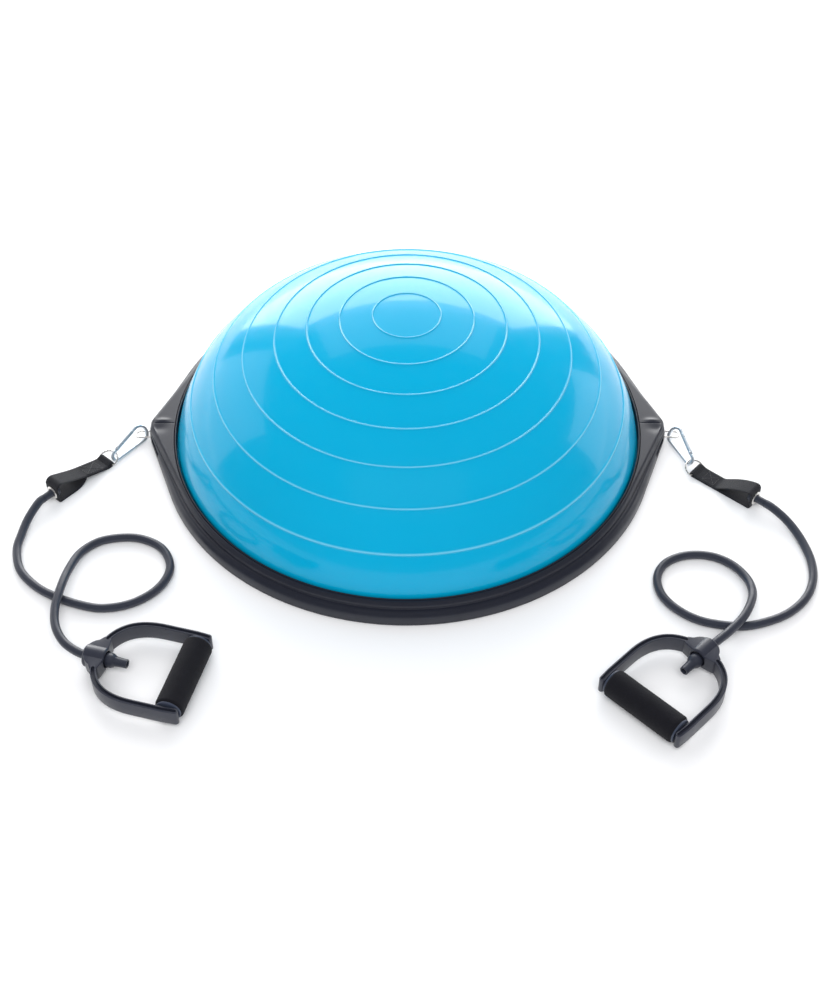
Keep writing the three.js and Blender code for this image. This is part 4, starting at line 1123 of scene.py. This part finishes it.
def make_strap(name, side):
    """A woven band with raised cross ribs and soft edges, closed on itself at the ring."""
    pitch, steps, rib_height = 1.5, 4, 0.07
    fray_depth, soft_edge = 0.12, 1.5
    line = resample(web_line(side), pitch / steps, closed=True)
    half_width = WEB_WIDTH / 2
    section = rounded_box((-half_width, half_width), (-WEB / 2, WEB / 2), 0.55, 3)
    across = 14
    section = resample(soften(section, 0.05, True, 1), WEB_WIDTH / across, closed=True)
    rows = []
    count = len(line)
    for i, point in enumerate(line):
        tangent = (line[(i + 1) % count] - line[i - 1]).normalized()
        outward = Vector((tangent.y, -tangent.x))
        rib = rib_height * math.cos(TAU * i / steps)
        row = []
        for wide, thick in section:
            edge = min(1.0, (half_width - abs(wide)) / soft_edge)
            swell = rib * (1 if thick > 0 else -1) * (0.3 + 0.7 * edge)
            fray = fray_depth * noise.noise(Vector((i * 0.35, wide, thick))) * (1 - edge)
            x, z = point + outward * (thick + swell)
            row.append((x, wide + fray, z))
        rows.append(row)
    skin = rows_skin(rows, wrap=True)
    strap = piece(f"{name}_strap_webbing", skin, strap_frame(side), sharp=50)
    hole_at = move(STRAP_LENGTH, 0, side["strap"]["eyelet"]) @ turn(90, "Y")
    carve(strap, "DIFFERENCE", placed(pin(6.5, -5, 5, 48), hole_at), sharp=50)
    dress(strap, f"{name}_strap", "webbing", f"{name}_strap")


def stitch_row(start, end, length=2.3, gap=0.7):
    """Stitches one after another between two points on the seam's top: short round rods."""
    a, b = Vector(start), Vector(end)
    count = max(1, int((b - a).length / (length + gap)))
    direction = (b - a).normalized()
    made = []
    for i in range(count):
        middle = a.lerp(b, (i + 0.5) / count)
        ends = middle - direction * length / 2, middle + direction * length / 2
        dip = Vector((0, 0, 0.16))
        raised = [ends[0].lerp(ends[1], share) for share in (0.2, 0.8)]
        line = [ends[0] - dip, *raised, ends[1] - dip]
        made.append(rod(line, 0.26, 8, rounding=0.12))
    return made


def make_stitches(name, side):
    """A sewn box with a row across its middle, through both layers near the ring."""
    web = side["strap"]
    near, far, wide = 13.0, web["seam"] - 1.5, 8.2
    a, b, c, d = [
        (along, across, underside(web, along) + 2 * WEB + 0.16)
        for along, across in ((near, -wide), (near, wide), (far, wide), (far, -wide))
    ]
    rows = []
    for start, end in ((a, b), (b, c), (c, d), (d, a), (a, c), (b, d)):
        rows += stitch_row(start, end)
    stitches = piece(f"{name}_strap_stitches", joined(*rows), strap_frame(side))
    dress(stitches, f"{name}_strap", "webbing", look=THREAD)


def make_grommet(name, side):
    """A pressed eyelet with a rolled rim on each face of the webbing."""
    inside, outside = -WEB - GAP, GAP
    flange = [(5.3, 0.9), (7.6, 0.9), (8.2, 0.45), (8.2, 0), (6.2, 0)]
    outline = [(r, inside - z) for r, z in flange]
    outline += [(r, outside + z) for r, z in reversed(flange)]
    skin = lathe(soften(outline, 0.3, closed=True), 56, wrap=True)
    grommet = piece(f"{name}_eyelet", skin, eyelet_frame(side))
    dress(grommet, f"{name}_strap", "nickel", f"{name}_grommet")


# ---- handle


def arm_line(sign, first=0):
    """An arm's middle line, from inside the hub's plate out and along to past the grip."""
    steps = 42
    span = ARM_SPAN + 0.5
    bend = [(5, 17), *bezier((5, 17), (12, 40), (31, span), (58, span), steps)]
    line = [*bend[first:], *[(x, span) for x in (70, 82, 94)], (107, ARM_SPAN - 0.5)]
    return [(x, sign * y) for x, y in line]


def shrunk(outline, inset):
    """A finely drawn closed outline, anticlockwise, moved inwards by inset."""
    moved = []
    for i, point in enumerate(outline):
        ahead, behind = Vector(outline[(i + 1) % len(outline)]), Vector(outline[i - 1])
        along = (ahead - behind).normalized()
        moved.append((point[0] - along.y * inset, point[1] + along.x * inset))
    return moved


def hub_outline():
    """The hub's plate: round behind, with a shoulder on each side where an arm leaves it."""
    back = arc(6, 0, 18, math.radians(115), math.radians(176), 16)
    half = [(HUB_HALF, 9), (10.2, 20), (2.6, 22), *back]
    outline = half + [(x, -y) for x, y in reversed(half)]
    return [tuple(p) for p in resample(soften(outline, 1.2, closed=True), 0.7, closed=True)]


def make_bow(name, side):
    """The one-piece bow: a hub, a barrel round its bore, two grooved arms, the grip's stubs."""
    plate = hub_outline()
    hub = slab(lambda inset: shrunk(plate, inset), -BOW_HALF, BOW_HALF, 0.9)
    bow = piece(f"{name}_handle_bow_moulded", hub, handle_frame(side))
    front = [(0.3, -HUB_HALF), (10.5, -HUB_HALF), (HUB_HALF, -10.5)]
    barrel = soften([*front, *[(r, -z) for r, z in reversed(front)]], 0.6)
    barrel = lathe([(0, -HUB_HALF), *barrel, (0, HUB_HALF)], 80)
    carve(bow, "UNION", placed(barrel, turn(90, "Y")))
    arm_half = BOW_HALF - 0.03
    stub = lathe([(0, 39.5), *soften([(0.2, 39.5), (4, 39.5), (4, 50)], 0.6), (0, 50)], 32)
    for sign in (1, -1):
        arm = slab(lambda inset: band(arm_line(sign), ARM_HALF - inset), -arm_half, arm_half, 0.5)
        carve(bow, "UNION", arm)
        carve(bow, "UNION", placed(stub, move(GRIP_OFFSET, 0, 0) @ turn(-90 * sign, "X")))
        for low, high in ((5.5, 11), (-11, -5.5)):
            line = arm_line(sign, 2)
            groove = slab(lambda inset: band(line, GROOVE_HALF - inset), low, high, 0.25)
            carve(bow, "DIFFERENCE", groove)
    mouth = [(8.7, 6.5), (9, 6.8), (9, 11.5), (9.6, 12.6), (0, 12.6)]
    bore = [(0, -13), (5.4, -13), (5.05, -11.6), (5.05, 6.5), *mouth]
    carve(bow, "DIFFERENCE", placed(lathe(bore, 64), turn(90, "Y")))
    dress(bow, f"{name}_handle", "handle_plastic", f"{name}_handle_bow")


def make_grip(name, side):
    """The core turns on the bow's stubs, and the foam sleeve is stretched over it."""
    rim = [(4.4, 45.2), (12.9, 45.2), (13.5, 44.6), (13.5, 43.2), (11, 43.2), (11, 20)]
    half = [(0, 38.9), (4.3, 38.9), (4.3, 45.2), *soften(rim, 0.35)]
    outline = [*half, *[(r, -z) for r, z in reversed(half)]]
    core = piece(f"{name}_grip_core_moulded", lathe(outline, 64), grip_frame(side))
    dress(core, f"{name}_grip", "core_plastic", f"{name}_grip_core")

    end, radius, corner = 42.9, 15.5, 2.6
    side_length = resample([(radius, end - corner), (radius, corner - end)], 1.3)
    round_end = arc(radius - corner, end - corner, corner, QUARTER, 0, 8)
    outline = [(11.3, end), *round_end, *[tuple(p) for p in side_length[1:-1]]]
    outline += [(r, -z) for r, z in reversed(round_end)] + [(11.3, -end)]
    vertices, faces = lathe(outline, 96, wrap=True)
    rough = []
    for x, y, z in vertices:
        out = math.hypot(x, y)
        swell = 0.0
        if out > 12:
            place = Vector((x, y, z))
            swell = 0.14 * noise.noise(place * 0.9) - 0.25 * noise.noise(place * 0.08) ** 2
        rough.append((x * (1 + swell / out), y * (1 + swell / out), z))
    foam = piece(f"{name}_foam_grip", (rough, faces), grip_frame(side))
    dress(foam, f"{name}_grip", "foam", f"{name}_foam_sleeve")


def make_ball(name, side):
    outline = [(6 * math.sin(a), 6 * math.cos(a)) for a in (math.pi * i / 24 for i in range(25))]
    skin = placed(lathe(outline, 40), move(0, 0, BULGE_MIDDLE))
    ball = piece(f"{name}_stopper_ball_hard", skin, hub_frame(side))
    dress(ball, f"{name}_strap", "tube_rubber", f"{name}_stopper_ball")


for name, side in SIDES.items():
    make_loop(name, side)
    make_hook(name, side)
    make_ring(name, side)
    make_strap(name, side)
    make_stitches(name, side)
    make_grommet(name, side)
    make_bow(name, side)
    make_grip(name, side)
    make_ball(name, side)

# ---- stage

floor_finish = Finish("studio_floor", (0.93, 0.93, 0.94), 0.55)
patches = floor_finish.span(floor_finish.noise(3, 2), 0.0, 0.12)
floor_finish.tint(patches, (0.88, 0.88, 0.89))
far = 9000
corners = [(-far, -far, 0), (far, -far, 0), (far, far, 0), (-far, far, 0)]
floor = piece("floor", (corners, [(0, 1, 2, 3)]))
floor.location.z = cad_box[0].z - 0.0002
floor.data.materials.append(floor_finish.material)

area_light("left_panel", (-1.6, 0.85, 0.6), (0, 0.85, 0.6), (1.5, 1.2), 8)
area_light("right_panel", (1.9, 0.85, 0.45), (0, 0.85, 0.45), (1.4, 0.9), 7)
area_light("back_panel", (0, 2.2, 0.75), (0, 0, 0.75), (3, 1.5), 84)
area_light("high_panel", (0, 2.2, 2.2), (0, 0, 0), (3, 1.6), 22)
area_light("front_fill", (0, -1.6, 2.2), (0, 0, 0), (2.4, 1.4), 43, mirrored=False)


def light_studio():
    """A grey surround that shines more than it is mirrored, so that glossy pieces stay deep."""
    world = bpy.data.worlds.new("studio")
    bpy.context.scene.world = world
    world.use_nodes = True
    nodes, links = world.node_tree.nodes, world.node_tree.links
    background = nodes["Background"]
    background.inputs["Color"].default_value = (0.97, 0.98, 1, 1)
    share = nodes.new("ShaderNodeMix")
    share.inputs["A"].default_value = 0.55
    share.inputs["B"].default_value = 0.16
    links.new(nodes.new("ShaderNodeLightPath").outputs["Is Glossy Ray"], share.inputs["Factor"])
    links.new(share.outputs["Result"], background.inputs["Strength"])


light_studio()
